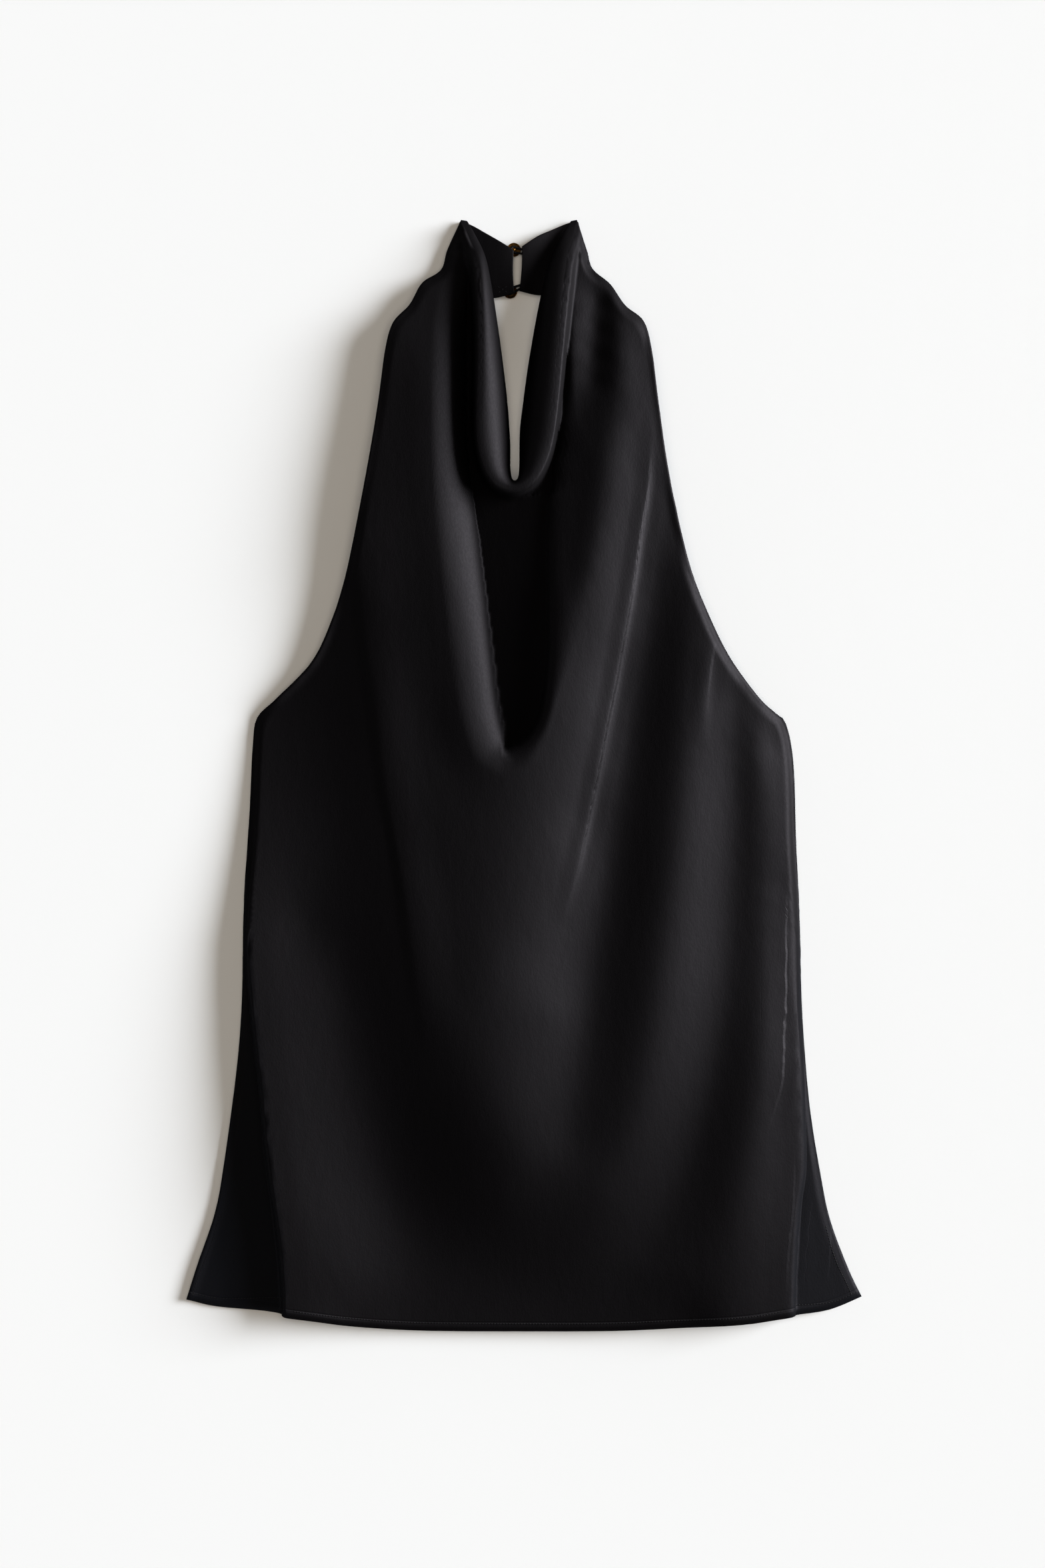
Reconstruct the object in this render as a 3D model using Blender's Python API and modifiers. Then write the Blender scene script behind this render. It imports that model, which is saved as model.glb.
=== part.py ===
"""A black satin halter neck top, lying flat on its back.

The front is one piece of cloth with a deep draped cowl. It turns to the inside along the neck
rim, where a facing is cut on. The low back lies flat under it. Two neckbands run from the
shoulder ends to the centre back, where two domed buttons and two cord loops fasten them.

Lengths in the tables are millimetres: x to the right of the top as it is seen from above, y towards
the neck, height above the floor. The origin is on the floor, under the middle of the whole top.
Left and right are as seen from above, too.
"""

from collections import namedtuple

import bmesh
import bpy
import numpy as np

MM = 0.001

# Cloth
CLOTH_WALL = 1.2
SEAM_GAP = 0.3

# Grid of the front. Its columns run in bands, left to right: the left side, down the wall of the
# left side fold, the middle, down the wall of the right side fold, and the right side
COLUMN_BANDS = (6, 2, 33, 2, 5)
FRONT_ROWS = 48
FACING_ROWS = 6
ROW_CROWDING = 1.2
FOLD_TRACK_START = 0.56
FOLD_TRACK_RUN = 0.12
FOOT_GAP = 0.4
DENSE = 241

# Outlines of the front, as it lies: x, y, height of the cloth's upper face
LEFT_SIDE = [
    (-42.5, 374.2, 4), (-51.7, 354, 6), (-56.0, 340, 9), (-68.6, 331, 14), (-77.0, 316, 18),
    (-88.0, 304, 20.5), (-93.3, 286, 21.5), (-97.7, 253, 23), (-103, 220, 24.5), (-110.4, 180, 24),
    (-120, 134, 20), (-130.5, 101, 17), (-143.5, 75, 14), (-166, 52, 9.5), (-180, 38.5, 3.8),
    (-183, 20, 3), (-184.5, -10, 3), (-186.7, -76, 3.2), (-189.3, -140, 3.8), (-193.6, -196, 4.4),
    (-202.4, -263, 5), (-208.5, -296, 5.2), (-220, -330, 5.2), (-227.7, -354, 4.6),
]
RIGHT_SIDE = [
    (35.6, 374.2, 4), (42.4, 353, 6), (46.2, 340.6, 9), (58, 330, 14), (68, 315.5, 17),
    (80.6, 304.5, 18), (86.0, 283, 22.6), (90.2, 250, 26), (95.4, 213, 26), (102, 178.5, 24.4),
    (111.5, 140, 22), (122.5, 111, 20), (138, 79.5, 17), (158, 52, 13), (170, 41, 9), (176, 35.5, 4.5),
    (180.6, 17, 3.6), (182.6, -12, 3.4), (183.5, -71, 3.2), (184, -140, 3), (190.4, -212, 3),
    (200, -270, 3), (206.6, -301, 3.2), (219, -334, 3.4), (227.7, -352, 3.4),
]
HEM = [
    (-227.7, -354), (-208, -358.6), (-173, -362), (-141, -367.6), (-112, -371.7), (-67, -374.6),
    (0, -375), (60, -374.6), (102, -372.6), (150, -369.6), (178, -365), (205, -361), (227.7, -352),
]
EDGE_RUN = 6.0

# Neck: the crest of the rim that the cloth rolls over, and the edge of what shows of the facing
# inside it
RIM = [
    (-42.5, 374.2, 4), (-36, 359, 11), (-31, 346, 20), (-28.6, 325, 28), (-27.6, 295, 33),
    (-27.8, 262, 35), (-28, 232, 35), (-25.6, 213, 35), (-19.5, 199, 34.5), (-9.6, 193.2, 34),
    (1.5, 196.4, 35), (9.2, 207, 35.4), (15, 224, 35), (18.8, 250, 34.4), (22.6, 290, 32.6),
    (25.8, 322, 28.4), (29, 348, 19.6), (32.6, 362, 11), (35.6, 374.2, 4),
]
FACING_EDGE = [
    (-38.4, 373.4, 4.2), (-33, 364, 7), (-26.4, 350, 8.5), (-22.5, 333, 9.5), (-18.2, 306, 7),
    (-14, 275, 5), (-11.2, 250, 5), (-9.4, 224, 5.5), (-9.2, 206, 7), (-7.6, 198.5, 9),
    (-4.4, 199.2, 9), (-3.3, 208, 7), (-2.9, 231, 5.5), (-0.8, 250, 5), (3.2, 279, 5),
    (9.4, 314, 7), (14.4, 335, 9.5), (20.6, 353, 8.5), (26.4, 365, 7), (31.6, 373.4, 4.2),
]
RIM_ROLL = 6.0
RIM_DROP = 1.2
RIM_WALL = 2.0
FACING_CLIMB = 0.35

# The drape: crests and troughs that the cloth runs smoothly through, each as x, y, height
DRAPE = {
    "arm_left": [
        (-51, 346, 11), (-61, 328, 17), (-71, 300, 23), (-71, 270, 27), (-69, 240, 29),
        (-67, 205, 30.5), (-62, 165, 31.5), (-59, 130, 31.7), (-54, 95, 31.5), (-50, 60, 31),
        (-46, 36, 30.8), (-36, 14, 30.5), (-20, 2, 31), (-6, 0, 31),
    ],
    "arm_left_base": [
        (-82, 296, 23.2), (-81, 270, 25.6), (-80, 240, 27.2), (-78, 205, 28.8), (-75, 165, 29.6),
        (-72, 130, 29.4), (-68, 95, 29), (-64, 60, 28.2), (-60, 36, 27.6), (-50, 8, 27.6),
        (-34, -10, 29.2), (-14, -14, 30.4),
    ],
    "arm_right": [
        (61, 318, 19), (61.5, 298, 22.5), (61, 274, 26), (60.5, 249, 28.8), (57.5, 224, 31.5),
        (53.5, 200, 32.7), (48.5, 165, 32.8), (42, 134, 32.7), (34.5, 100, 32), (27, 72, 31.6),
        (21, 46, 31), (13, 24, 30.6),
    ],
    "arm_right_inner": [(44, 226, 28.4), (38, 200, 29), (34, 165, 29.8), (30, 134, 30.8)],
    "arm_right_side": [
        (73, 226, 29), (68, 190, 30.3), (64, 165, 29.9), (60, 134, 28.9), (55, 100, 27.6),
        (49, 68, 25.2), (44, 36, 23.8), (36, 0, 23), (28, -30, 22.6), (20, -60, 24), (12, -100, 24.2),
    ],
    "arm_right_low": [
        (82, 218, 27.4), (78, 186, 27.5), (75, 163, 26.6), (71, 128, 24.8), (66, 100, 23.4),
        (60, 68, 20.3), (54, 36, 19.2), (48, 4, 18.6), (40, -28, 17.6), (32, -64, 19.8),
        (24, -100, 19.9),
    ],
    "shoulder_right": [
        (70, 305, 21.4), (75, 284, 23.4), (78, 262, 26), (80, 240, 27.6),
    ],
    "throat": [(42, 330, 15), (41, 308, 18), (40, 285, 20), (39, 262, 22.3), (37, 242, 24.4)],
    "throat_trough": [(50, 318, 14.4), (49, 296, 17.2), (47.5, 272, 20), (45, 248, 25)],
    "flank_trough": [
        (96, 208, 25.6), (92, 180, 24.2), (89, 150, 22.4), (82, 100, 18.5), (76, 60, 15.2),
        (68, 10, 12.9), (61, -40, 12.2), (55, -90, 12.6), (49, -130, 15), (44, -160, 17.5),
        (37, -205, 20.8), (32, -245, 22),
    ],
    "flank_crest": [
        (107, 140, 23.4), (108, 120, 23.2), (108, 98, 23), (110, 60, 22), (107, 10, 20), (102, -45, 20.4),
        (96, -95, 21.6), (88, -150, 24.6), (80, -205, 25.8), (66, -255, 24.2), (52, -285, 22),
    ],
    "flank_foot": [
        (142, 50, 15.4), (144, 0, 12.2), (143, -50, 12), (140, -100, 12.6), (137, -150, 15.4),
        (130, -190, 17.2), (122, -225, 18), (110, -265, 17), (98, -295, 16), (84, -318, 15),
    ],
    "right_shelf": [
        (156, 44, 14.4), (158, 0, 13.4), (159, -50, 13.6), (160, -100, 14.4), (162, -150, 18),
        (160, -190, 22), (156, -222, 23.8), (148, -262, 23.6), (142, -296, 22.8), (137, -330, 21),
        (134, -368, 18.5),
    ],
    "right_underarm": [(168, 20, 10.4), (171, -10, 11.2), (173, -40, 11.8)],
    "right_fold": [
        (172, -76, 11.8), (173, -110, 12.6), (174, -160, 16), (175, -204, 19.5), (175, -245, 18),
        (173, -290, 16.8), (170, -330, 16.6), (168, -368, 16),
    ],
    "step": [
        (-108, 160, 25.8), (-104, 120, 24.4), (-98, 95, 24), (-94, 44, 24), (-88, 1, 23.6),
        (-80, -41, 23.6), (-74, -84, 25), (-68, -124, 26.4), (-62, -165, 27.3), (-48, -205, 27),
        (-36, -235, 26), (-26, -262, 22.8), (-14, -285, 20.6),
    ],
    "step_foot": [
        (-126, 110, 17), (-126, 84, 15.6), (-127, 44, 14.6), (-127, 1, 14.6), (-127, -41, 14),
        (-128, -84, 13.6), (-124, -130, 14), (-118, -170, 15.3), (-108, -210, 15), (-98, -245, 12.5),
        (-88, -285, 9.4), (-74, -320, 8.8),
    ],
    "left_underarm": [(-166, 32, 8), (-152, 0, 10.6), (-150, -40, 12)],
    "left_fold": [
        (-176, -50, 12.8), (-176, -90, 15.4), (-173, -130, 18.5), (-168, -170, 21), (-165, -207, 23),
        (-160, -257, 24), (-154, -297, 23.5), (-150, -337, 22.5), (-148, -368, 21.5),
    ],
    "left_slope": [
        (-146, -100, 12.2), (-140, -160, 16.4), (-136, -220, 18.1), (-130, -280, 17.4),
        (-122, -335, 17.3),
    ],
    "centre": [
        (-16, -45, 29.5), (-22, -95, 29.4), (-26, -155, 30.4), (-18, -215, 29.4), (-8, -245, 26.8),
        (6, -275, 22.8),
    ],
    "centre_right": [(18, -160, 23.6), (16, -220, 24.2)],
    "centre_left": [(-56, -60, 26.6), (-48, -110, 28.2), (-48, -160, 29.3)],
    "hem_trough": [
        (-46, -335, 9.2), (-16, -340, 10.2), (14, -342, 11.4), (44, -342, 12.6), (74, -338, 14),
        (104, -332, 17.6),
    ],
    "hem_line": [
        (-112, -372, 13), (-70, -374, 8.8), (0, -375, 9.4), (60, -375, 11), (110, -373, 13.5),
    ],
}
DRAPE_STEP = 18.0
DRAPE_SLACK = 0.002
DRAPE_UNIT = 100.0

# Where the cloth rolls over an edge: each point of the edge as x, y, the run of the roll, and the
# height at its foot. The lower side is on the left or the right hand of someone who walks along
# the edge.
Drop = namedtuple("Drop", "hand edge")
POCKET = Drop("left", [
    (-50, 352, 12, 25), (-57, 328, 19, 20), (-61, 300, 22, 16), (-62, 270, 23, 15), (-62, 240, 23, 15),
    (-61, 205, 24, 15), (-58, 160, 27, 15), (-53, 120, 27, 15), (-48, 76, 27, 15), (-42, 38, 26, 15),
    (-33, 12, 25, 15), (-19, 1, 24, 15), (-6, 1, 23, 15), (3, 9, 16, 15), (11, 22, 10, 15),
    (17, 36, 8, 15), (22, 54, 9, 15), (32, 84, 17, 15), (41, 122, 26, 15), (49, 160, 34, 15),
    (54, 192, 38, 15), (45, 220, 27, 12), (36, 240, 13, 8), (34, 262, 6, 8), (34, 296, 5, 7),
    (35, 322, 5, 3), (37, 345, 5, 0),
])
POCKET_TILT = 0.3
POCKET_START = 1.4
POCKET_LANDING = 0.32
SIDE_FOLDS = [
    Drop("right", [
        (-183.5, -10, 4, 3.6), (-183, -60, 5, 3.8), (-180.5, -120, 6, 3.6), (-176.4, -165, 6, 3.4),
        (-171.6, -207, 6, 3.2), (-166.6, -257, 6, 3), (-160.8, -297, 6, 3), (-156.4, -337, 6, 3),
        (-155, -376, 6, 3),
    ]),
    Drop("left", [
        (182.5, -30, 4, 3.6), (181, -80, 5, 3.8), (179.5, -120, 6, 4), (179.5, -161, 6, 4.2),
        (181, -212, 6, 4.4), (182, -262, 6, 4.6), (178, -294, 6, 4.6), (175.6, -332, 6, 4.6),
        (174.8, -376, 6, 4.6),
    ]),
]
SIDE_LEAN = 4.0
LEAN_REACH = 8.0
LEAN_START = 0.3
# The side of a roll: the higher the first, the flatter it starts; the higher the second, the softer
# it lands
ROLL_START = 2.0
ROLL_LANDING = 0.5

# Narrow folds on the drape: each crest as x, y, rise, then how far the fold reaches on either hand
# of someone who walks along it. sharp runs from 0, a round crest, to 1, a crease.
Fold = namedtuple("Fold", "name crest left_hand right_hand sharp")
FOLDS = [
    Fold("cowl_crease", [
        (86, 240, 0), (83.5, 196, 0.8), (78, 160, 1.2), (72, 122, 1.4), (65, 83, 1.5), (56.5, 37, 1.6),
        (49, 0, 1.6), (41.5, -37, 1.3), (34, -70, 0.8), (24, -104, 0),
    ], 4.5, 11, 0.3),
    Fold("armhole_crease", [(126, 90, 0), (124, 72, 0.8), (121.5, 48, 0.9), (120, 16, 0)], 5, 12, 0.1),
    Fold("step_edge", [
        (-112, 176, 0), (-110, 130, 0.8), (-107, 92, 1.2), (-100, 44, 1.4), (-95, 1, 1.3),
        (-87, -41, 1.3), (-80, -84, 1.4), (-75, -124, 1), (-66, -180, 0),
    ], 30, 6, 0.1),
]

# Back
BACK_INSET = 1.2
BACK_TOP = [(-177, 32), (-120, 22), (-50, 15), (0, 13.5), (50, 15), (120, 22), (174, 30)]
BACK_HEM = [
    (225.4, -350), (205, -357.4), (120, -360), (0, -361), (-120, -360), (-205, -356.6), (-225.4, -351),
]

# Neckbands: points along the upper edge and the lower edge, from the shoulder fold to the centre
# back, where the strip stands on its buttons
BAND_WALL = 2.4
BAND_END_STAND = 5.3
BAND_CROWN = 0.8
BAND_END_HOLLOW = 0.8
BAND_HOLLOW_START = 6
BAND_LEFT = [
    ((-43.4, 373.2), (-54.4, 341.4)), ((-36, 371), (-44, 330.5)), ((-24.5, 364.4), (-32, 324)),
    ((-13.6, 357.9), (-20.7, 321.3)), ((-7.0, 353.4), (-6.6, 324.4)),
]
BAND_RIGHT = [
    ((36.4, 373.2), (44.6, 342.6)), ((30, 372.2), (36.5, 333.5)), ((19.6, 367.8), (25.5, 327)),
    ((9.4, 363.2), (11.1, 323.2)), ((-1.6, 356.0), (-3.3, 325.8)),
]
BAND_ACROSS = 6
BAND_ALONG = 17

# Buttons under the end of the left neckband, dome down, and the loops from the right neckband's end
BUTTON_RADIUS = 4.7
BUTTON_DOME = 2.6
BUTTON_GROUND = 0.3
SHANK_RADIUS = 1.0
SHANK_TOP = BAND_END_STAND - SEAM_GAP
BUTTON_SIDES = 28
LOOP_RADIUS = 0.65
LOOP_HEIGHT = 4.25
LOOP_TUCK = 3.0
LOOP_TURN_STEPS = 8
Closure = namedtuple("Closure", "button loop centre legs")
CLOSURES = [
    Closure("button_upper", "loop_upper", (-6.9, 354.1), ((-2.0, 354.4), (-2.0, 351.5))),
    Closure("button_lower", "loop_lower", (-9.4, 325.9), ((-3.0, 330.0), (-3.2, 327.4))),
]

COLOURS = {
    "satin": ((0.012, 0.011, 0.013), 0.45, 0.0),
    "gilt": ((0.78, 0.50, 0.18), 0.3, 1.0),
    "cord": ((0.010, 0.010, 0.011), 0.6, 0.0),
}


def clear_scene():
    for old in list(bpy.data.objects):
        bpy.data.objects.remove(old, do_unlink=True)


def finish(name):
    """The material of one finish, made once."""
    if name in bpy.data.materials:
        return bpy.data.materials[name]
    colour, roughness, metallic = COLOURS[name]
    material = bpy.data.materials.new(name)
    material.use_nodes = True
    shader = material.node_tree.nodes["Principled BSDF"]
    shader.inputs["Base Color"].default_value = (*colour, 1)
    shader.inputs["Roughness"].default_value = roughness
    shader.inputs["Metallic"].default_value = metallic
    return material


def put(name, mesh, finish_name, collection):
    part = bpy.data.objects.new(name, mesh)
    mesh.materials.append(finish(finish_name))
    collection.objects.link(part)
    return part


def ease(share):
    """0 to 1 with level ends."""
    share = np.clip(share, 0, 1)
    return share * share * (3 - 2 * share)


def dense_line(points, steps=14):
    """The smooth curve through the points, in short steps, and each point's share of its length."""
    points = np.array(points, float)
    padded = np.vstack([2 * points[0] - points[1], points, 2 * points[-1] - points[-2]])
    t = np.linspace(0, 1, steps, endpoint=False)[:, None]
    pieces = []
    for a, b, c, d in zip(padded, padded[1:], padded[2:], padded[3:]):
        bend = (2 * a - 5 * b + 4 * c - d) * t**2 + (3 * b - a - 3 * c + d) * t**3
        pieces.append(0.5 * (2 * b + (c - a) * t + bend))
    line = np.vstack(pieces + [points[-1:]])
    run = np.cumsum(np.linalg.norm(np.diff(line[:, :2], axis=0), axis=1))
    share = np.concatenate([[0], run]) / run[-1]
    return line, share


def along(points, shares):
    """The places at these shares of the length of the smooth curve through the points."""
    line, share = dense_line(points)
    return np.column_stack([np.interp(shares, share, column) for column in line.T])


def nearest(places, line):
    """For each x, y: the distance to the line, its nearest point there, and the side, left above 0."""
    gap = places[:, None, :2] - line[None, :, :2]
    distance = np.linalg.norm(gap, axis=2)
    index = distance.argmin(axis=1)
    step = np.gradient(line[:, :2], axis=0)[index]
    rows = np.arange(len(places))
    side = step[:, 0] * gap[rows, index, 1] - step[:, 1] * gap[rows, index, 0]
    return distance[rows, index], index, side


def crest_shape(distance, width, sharp):
    reach = np.clip(distance / width, 0, 1)
    return (1 - sharp) * np.cos(np.pi / 2 * reach) ** 2 + sharp * (1 - reach) ** 2


def spread(left, right, top, bottom, u, v):
    """The sheet between four edges: top and bottom run along u, left and right down v."""
    u = u[None, :, None]
    v = v[:, None, None]
    across = (1 - v) * top[None, :, :2] + v * bottom[None, :, :2]
    down = (1 - u) * left[:, None, :2] + u * right[:, None, :2]
    corners = (1 - u) * ((1 - v) * left[0, :2] + v * left[-1, :2])
    corners = corners + u * ((1 - v) * right[0, :2] + v * right[-1, :2])
    return across + down - corners


def fold_lift(places, fold):
    """How far one narrow fold lifts each place."""
    line, _ = dense_line(fold.crest)
    distance, index, side = nearest(places, line)
    width = np.where(side > 0, fold.left_hand, fold.right_hand)
    return crest_shape(distance, width, fold.sharp) * line[index, 2]


def thin_plate(places, knots):
    """The kernel of a thin plate that bends through the knots."""
    squared = ((places[:, None, :2] - knots[None, :, :2]) ** 2).sum(axis=2)
    return squared * np.log(squared + 1e-9)


def drape_height(places):
    """The smooth cloth through all the crests and troughs of the drape."""
    knots = []
    for points in DRAPE.values():
        line, share = dense_line(points)
        run = np.linalg.norm(np.diff(line[:, :2], axis=0), axis=1).sum()
        stops = np.linspace(0, 1, max(2, round(run / DRAPE_STEP) + 1))
        knots.append(np.column_stack([np.interp(stops, share, column) for column in line.T]))
    knots = np.vstack(knots) / DRAPE_UNIT
    flat = np.column_stack([np.ones(len(knots)), knots[:, :2]])
    stiff = thin_plate(knots, knots) + DRAPE_SLACK * np.eye(len(knots))
    system = np.block([[stiff, flat], [flat.T, np.zeros((3, 3))]])
    weights = np.linalg.solve(system, np.concatenate([knots[:, 2], np.zeros(3)]))
    scaled = places / DRAPE_UNIT
    height = thin_plate(scaled, knots) @ weights[:-3]
    return DRAPE_UNIT * (height + weights[-3] + scaled @ weights[-2:])


def round_over(share, start=ROLL_START, landing=ROLL_LANDING):
    """0 to 1 down the side of a round roll, which starts gently, falls steeply and lands."""
    return 1 - (1 - np.clip(share, 0, 1) ** start) ** landing


def pocket_roll(share):
    """The same down the side of the pocket, which slopes evenly before it falls."""
    return round_over(share, POCKET_START, POCKET_LANDING)


def drop_off(places, drop, fall=round_over):
    """How far each place is down the drop, from 0 on the cloth above to 1 at the foot, the height at
    the foot, and how far the place is from the edge and down its length."""
    line, share = dense_line(drop.edge)
    distance, index, side = nearest(places, line)
    below = side > 0 if drop.hand == "left" else side < 0
    down = np.where(below, fall(distance / line[index, 2]), 0)
    return down, line[index, 3], distance, share[index]


def wall_shares(row, u, drop):
    """Where along a row the side fold's edge and the foot of its drop lie."""
    line, _ = dense_line(drop.edge)
    _, index, side = nearest(row, line)
    from_left = drop.hand == "right"
    inside = side > 0 if from_left else side < 0
    spot = inside.argmax() if from_left else len(u) - 1 - inside[::-1].argmax()
    back = max(spot - 1, 0) if from_left else min(spot + 1, len(u) - 1)
    crest = u[spot]
    if side[back] * side[spot] < 0:
        crest += (u[back] - u[spot]) * side[spot] / (side[spot] - side[back])
    length = np.linalg.norm(row[-1] - row[0])
    gap = crest if from_left else 1 - crest
    foot = max(gap - line[index[spot], 2] / length, FOOT_GAP * gap)
    return crest, foot if from_left else 1 - foot


def column_shares(places, u, v, bands):
    """Each row's columns, as shares of the row, so that they follow the two side folds down."""
    ends = np.concatenate([[0], np.cumsum(bands)])
    columns = np.arange(ends[-1] + 1)
    shares = []
    for row, down in zip(places, v):
        crest_left, foot_left = wall_shares(row, u, SIDE_FOLDS[0])
        crest_right, foot_right = wall_shares(row, u, SIDE_FOLDS[1])
        tracked = np.array([0, foot_left, crest_left, crest_right, foot_right, 1])
        follow = ease((down - FOLD_TRACK_START) / FOLD_TRACK_RUN)
        stops = ends / ends[-1] * (1 - follow) + tracked * follow
        shares.append(np.interp(columns, ends, stops))
    return np.array(shares)


def cloth_height(places, left, right):
    """The upper face's height before the rim's roll, and how far the side folds lean out."""
    height = drape_height(places)
    for fold in FOLDS:
        height += fold_lift(places, fold)
    down, foot, _, _ = drop_off(places, POCKET, pocket_roll)
    height += (foot + POCKET_TILT * places[:, 0] - height) * down
    shift = np.zeros_like(places)
    for drop in SIDE_FOLDS:
        down, foot, distance, share = drop_off(places, drop)
        height += (foot - height) * down
        near = np.exp(-((distance / LEAN_REACH) ** 2)) * ease(share / LEAN_START)
        shift[:, 0] += near * (SIDE_LEAN if drop.hand == "left" else -SIDE_LEAN)
    left_gap, left_index, _ = nearest(places, left)
    right_gap, right_index, _ = nearest(places, right)
    nearer_left = left_gap < right_gap
    edge_gap = np.where(nearer_left, left_gap, right_gap)
    edge_height = np.where(nearer_left, left[left_index, 2], right[right_index, 2])
    height = edge_height + (height - edge_height) * ease(edge_gap / EDGE_RUN)
    return height, shift


def front_sheet(bands, rows, facing_rows):
    """The upper face of the front: the facing's rows from its edge to the rim, then on to the hem."""
    dense = np.linspace(0, 1, DENSE)
    v = np.linspace(0, 1, rows) ** ROW_CROWDING
    left = along(LEFT_SIDE, v)
    right = along(RIGHT_SIDE, v)
    even = spread(left, right, along(RIM, dense), along(HEM, dense), dense, v)
    shares = column_shares(even, dense, v, bands)
    places = np.array([
        np.column_stack([np.interp(share, dense, row[:, 0]), np.interp(share, dense, row[:, 1])])
        for share, row in zip(shares, even)
    ])
    columns = places.shape[1]
    places = places.reshape(-1, 2)
    height, shift = cloth_height(places, along(LEFT_SIDE, dense), along(RIGHT_SIDE, dense))

    rim_line, _ = dense_line(RIM)
    rim_gap, rim_index, _ = nearest(places, rim_line)
    roll = rim_line[rim_index, 2] - RIM_DROP * (rim_gap / RIM_ROLL) ** 2
    on_roll = 1 - ease((rim_gap - RIM_ROLL + RIM_WALL) / (2 * RIM_WALL))
    height = height + np.maximum(roll - height, 0) * on_roll
    body = np.column_stack([places + shift, height]).reshape(rows, columns, 3)
    rim = along(RIM, shares[0])
    body[0] = rim

    edge = along(FACING_EDGE, shares[0])
    facing = []
    for share in np.linspace(0, 1, facing_rows, endpoint=False):
        flat = edge[:, :2] + (rim[:, :2] - edge[:, :2]) * share
        climb = np.sin(np.pi / 2 * share) ** FACING_CLIMB
        tall = edge[:, 2] + (rim[:, 2] - edge[:, 2]) * climb
        facing.append(np.column_stack([flat, tall]))
    return np.concatenate([np.array(facing), body])


def sheet_mesh(name, grid):
    """A grid mesh whose points are moved onto the sheet, facing up."""
    rows, columns, _ = grid.shape
    made = bmesh.new()
    bmesh.ops.create_grid(made, x_segments=columns - 1, y_segments=rows - 1, size=1)
    made.verts.ensure_lookup_table()
    order = sorted(range(len(made.verts)), key=lambda i: (-made.verts[i].co.y, made.verts[i].co.x))
    for vertex, place in zip(order, grid.reshape(-1, 3)):
        made.verts[vertex].co = place * MM
    mesh = bpy.data.meshes.new(name)
    made.to_mesh(mesh)
    made.free()
    mesh.shade_smooth()
    return mesh


def add_wall(part, thickness):
    wall = part.modifiers.new("Cloth wall", "SOLIDIFY")
    wall.thickness = thickness * MM
    wall.offset = -1
    return wall


def make_front(collection):
    grid = front_sheet(COLUMN_BANDS, FRONT_ROWS, FACING_ROWS)
    front = put("front", sheet_mesh("front", grid), "satin", collection)
    add_wall(front, CLOTH_WALL)
    return front


def flat_outline(name, places, thickness):
    """A flat closed outline as a 2D curve, filled and as thick as the cloth, on the floor."""
    curve = bpy.data.curves.new(name, "CURVE")
    curve.dimensions = "2D"
    curve.fill_mode = "BOTH"
    curve.extrude = thickness * MM / 2
    spline = curve.splines.new("POLY")
    spline.points.add(len(places) - 1)
    for point, (x, y) in zip(spline.points, places):
        point.co = (x * MM, y * MM, 0, 1)
    spline.use_cyclic_u = True
    return curve


def inset(places, distance):
    """The line moved to its left hand."""
    course = np.gradient(places, axis=0)
    course /= np.linalg.norm(course, axis=1)[:, None]
    return places + distance * np.column_stack([-course[:, 1], course[:, 0]])


def make_back(collection):
    left = np.array([row[:2] for row in LEFT_SIDE if row[1] < 30], float)
    right = np.array([row[:2] for row in RIGHT_SIDE if row[1] < 30], float)
    top = along(BACK_TOP, np.linspace(0, 1, 25))
    hem = along(BACK_HEM, np.linspace(0, 1, 25))
    right_edge = inset(right, -BACK_INSET)[:-1]
    left_edge = inset(left, BACK_INSET)[:-1]
    outline = np.vstack([top, right_edge, hem, left_edge[::-1]])
    back = put("back", flat_outline("back", outline, CLOTH_WALL), "satin", collection)
    back.location.z = CLOTH_WALL * MM / 2
    return back


def make_neckband(name, stations, collection):
    """A doubled strip between its upper and lower edges. It lies flat at the shoulder fold and
    rises towards the centre back."""
    run = np.linspace(0, 1, BAND_ALONG)
    upper = along([station[0] for station in stations], run)
    lower = along([station[1] for station in stations], run)
    towards_middle = np.sign(upper[-1, 0] - upper[0, 0])
    grid = []
    for share in np.linspace(0, 1, BAND_ACROSS):
        flat = upper + (lower - upper) * share
        bulge = np.sin(np.pi * share)
        flat[:, 0] -= towards_middle * BAND_END_HOLLOW * bulge * run**BAND_HOLLOW_START
        tall = BAND_WALL + BAND_END_STAND * ease(run) + BAND_CROWN * bulge * run
        grid.append(np.column_stack([flat, tall]))
    grid = np.array(grid)
    if towards_middle < 0:
        grid = grid[:, ::-1]
    band = put(name, sheet_mesh(name, grid), "satin", collection)
    add_wall(band, BAND_WALL)
    return band


def make_button(name, centre, collection):
    """A turned button: a shallow dome that faces down, a flat back, and a stub of a shank."""
    dome = [
        (BUTTON_RADIUS * np.sin(angle), BUTTON_GROUND + BUTTON_DOME * (1 - np.cos(angle)))
        for angle in np.linspace(0, np.pi / 2, 7)
    ]
    back = BUTTON_GROUND + BUTTON_DOME
    profile = dome + [(SHANK_RADIUS, back + 0.2), (SHANK_RADIUS, SHANK_TOP), (0, SHANK_TOP)]
    mesh = bpy.data.meshes.new(name)
    made = bmesh.new()
    points = [made.verts.new((r * MM, 0, z * MM)) for r, z in reversed(profile)]
    for start, end in zip(points, points[1:]):
        made.edges.new((start, end))
    made.to_mesh(mesh)
    made.free()
    button = put(name, mesh, "gilt", collection)
    turn = button.modifiers.new("Turned", "SCREW")
    turn.steps = turn.render_steps = BUTTON_SIDES
    turn.use_merge_vertices = True
    turn.merge_threshold = 0.00001
    turn.use_normal_calculate = True
    button.location = (centre[0] * MM, centre[1] * MM, 0)
    return button


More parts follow.
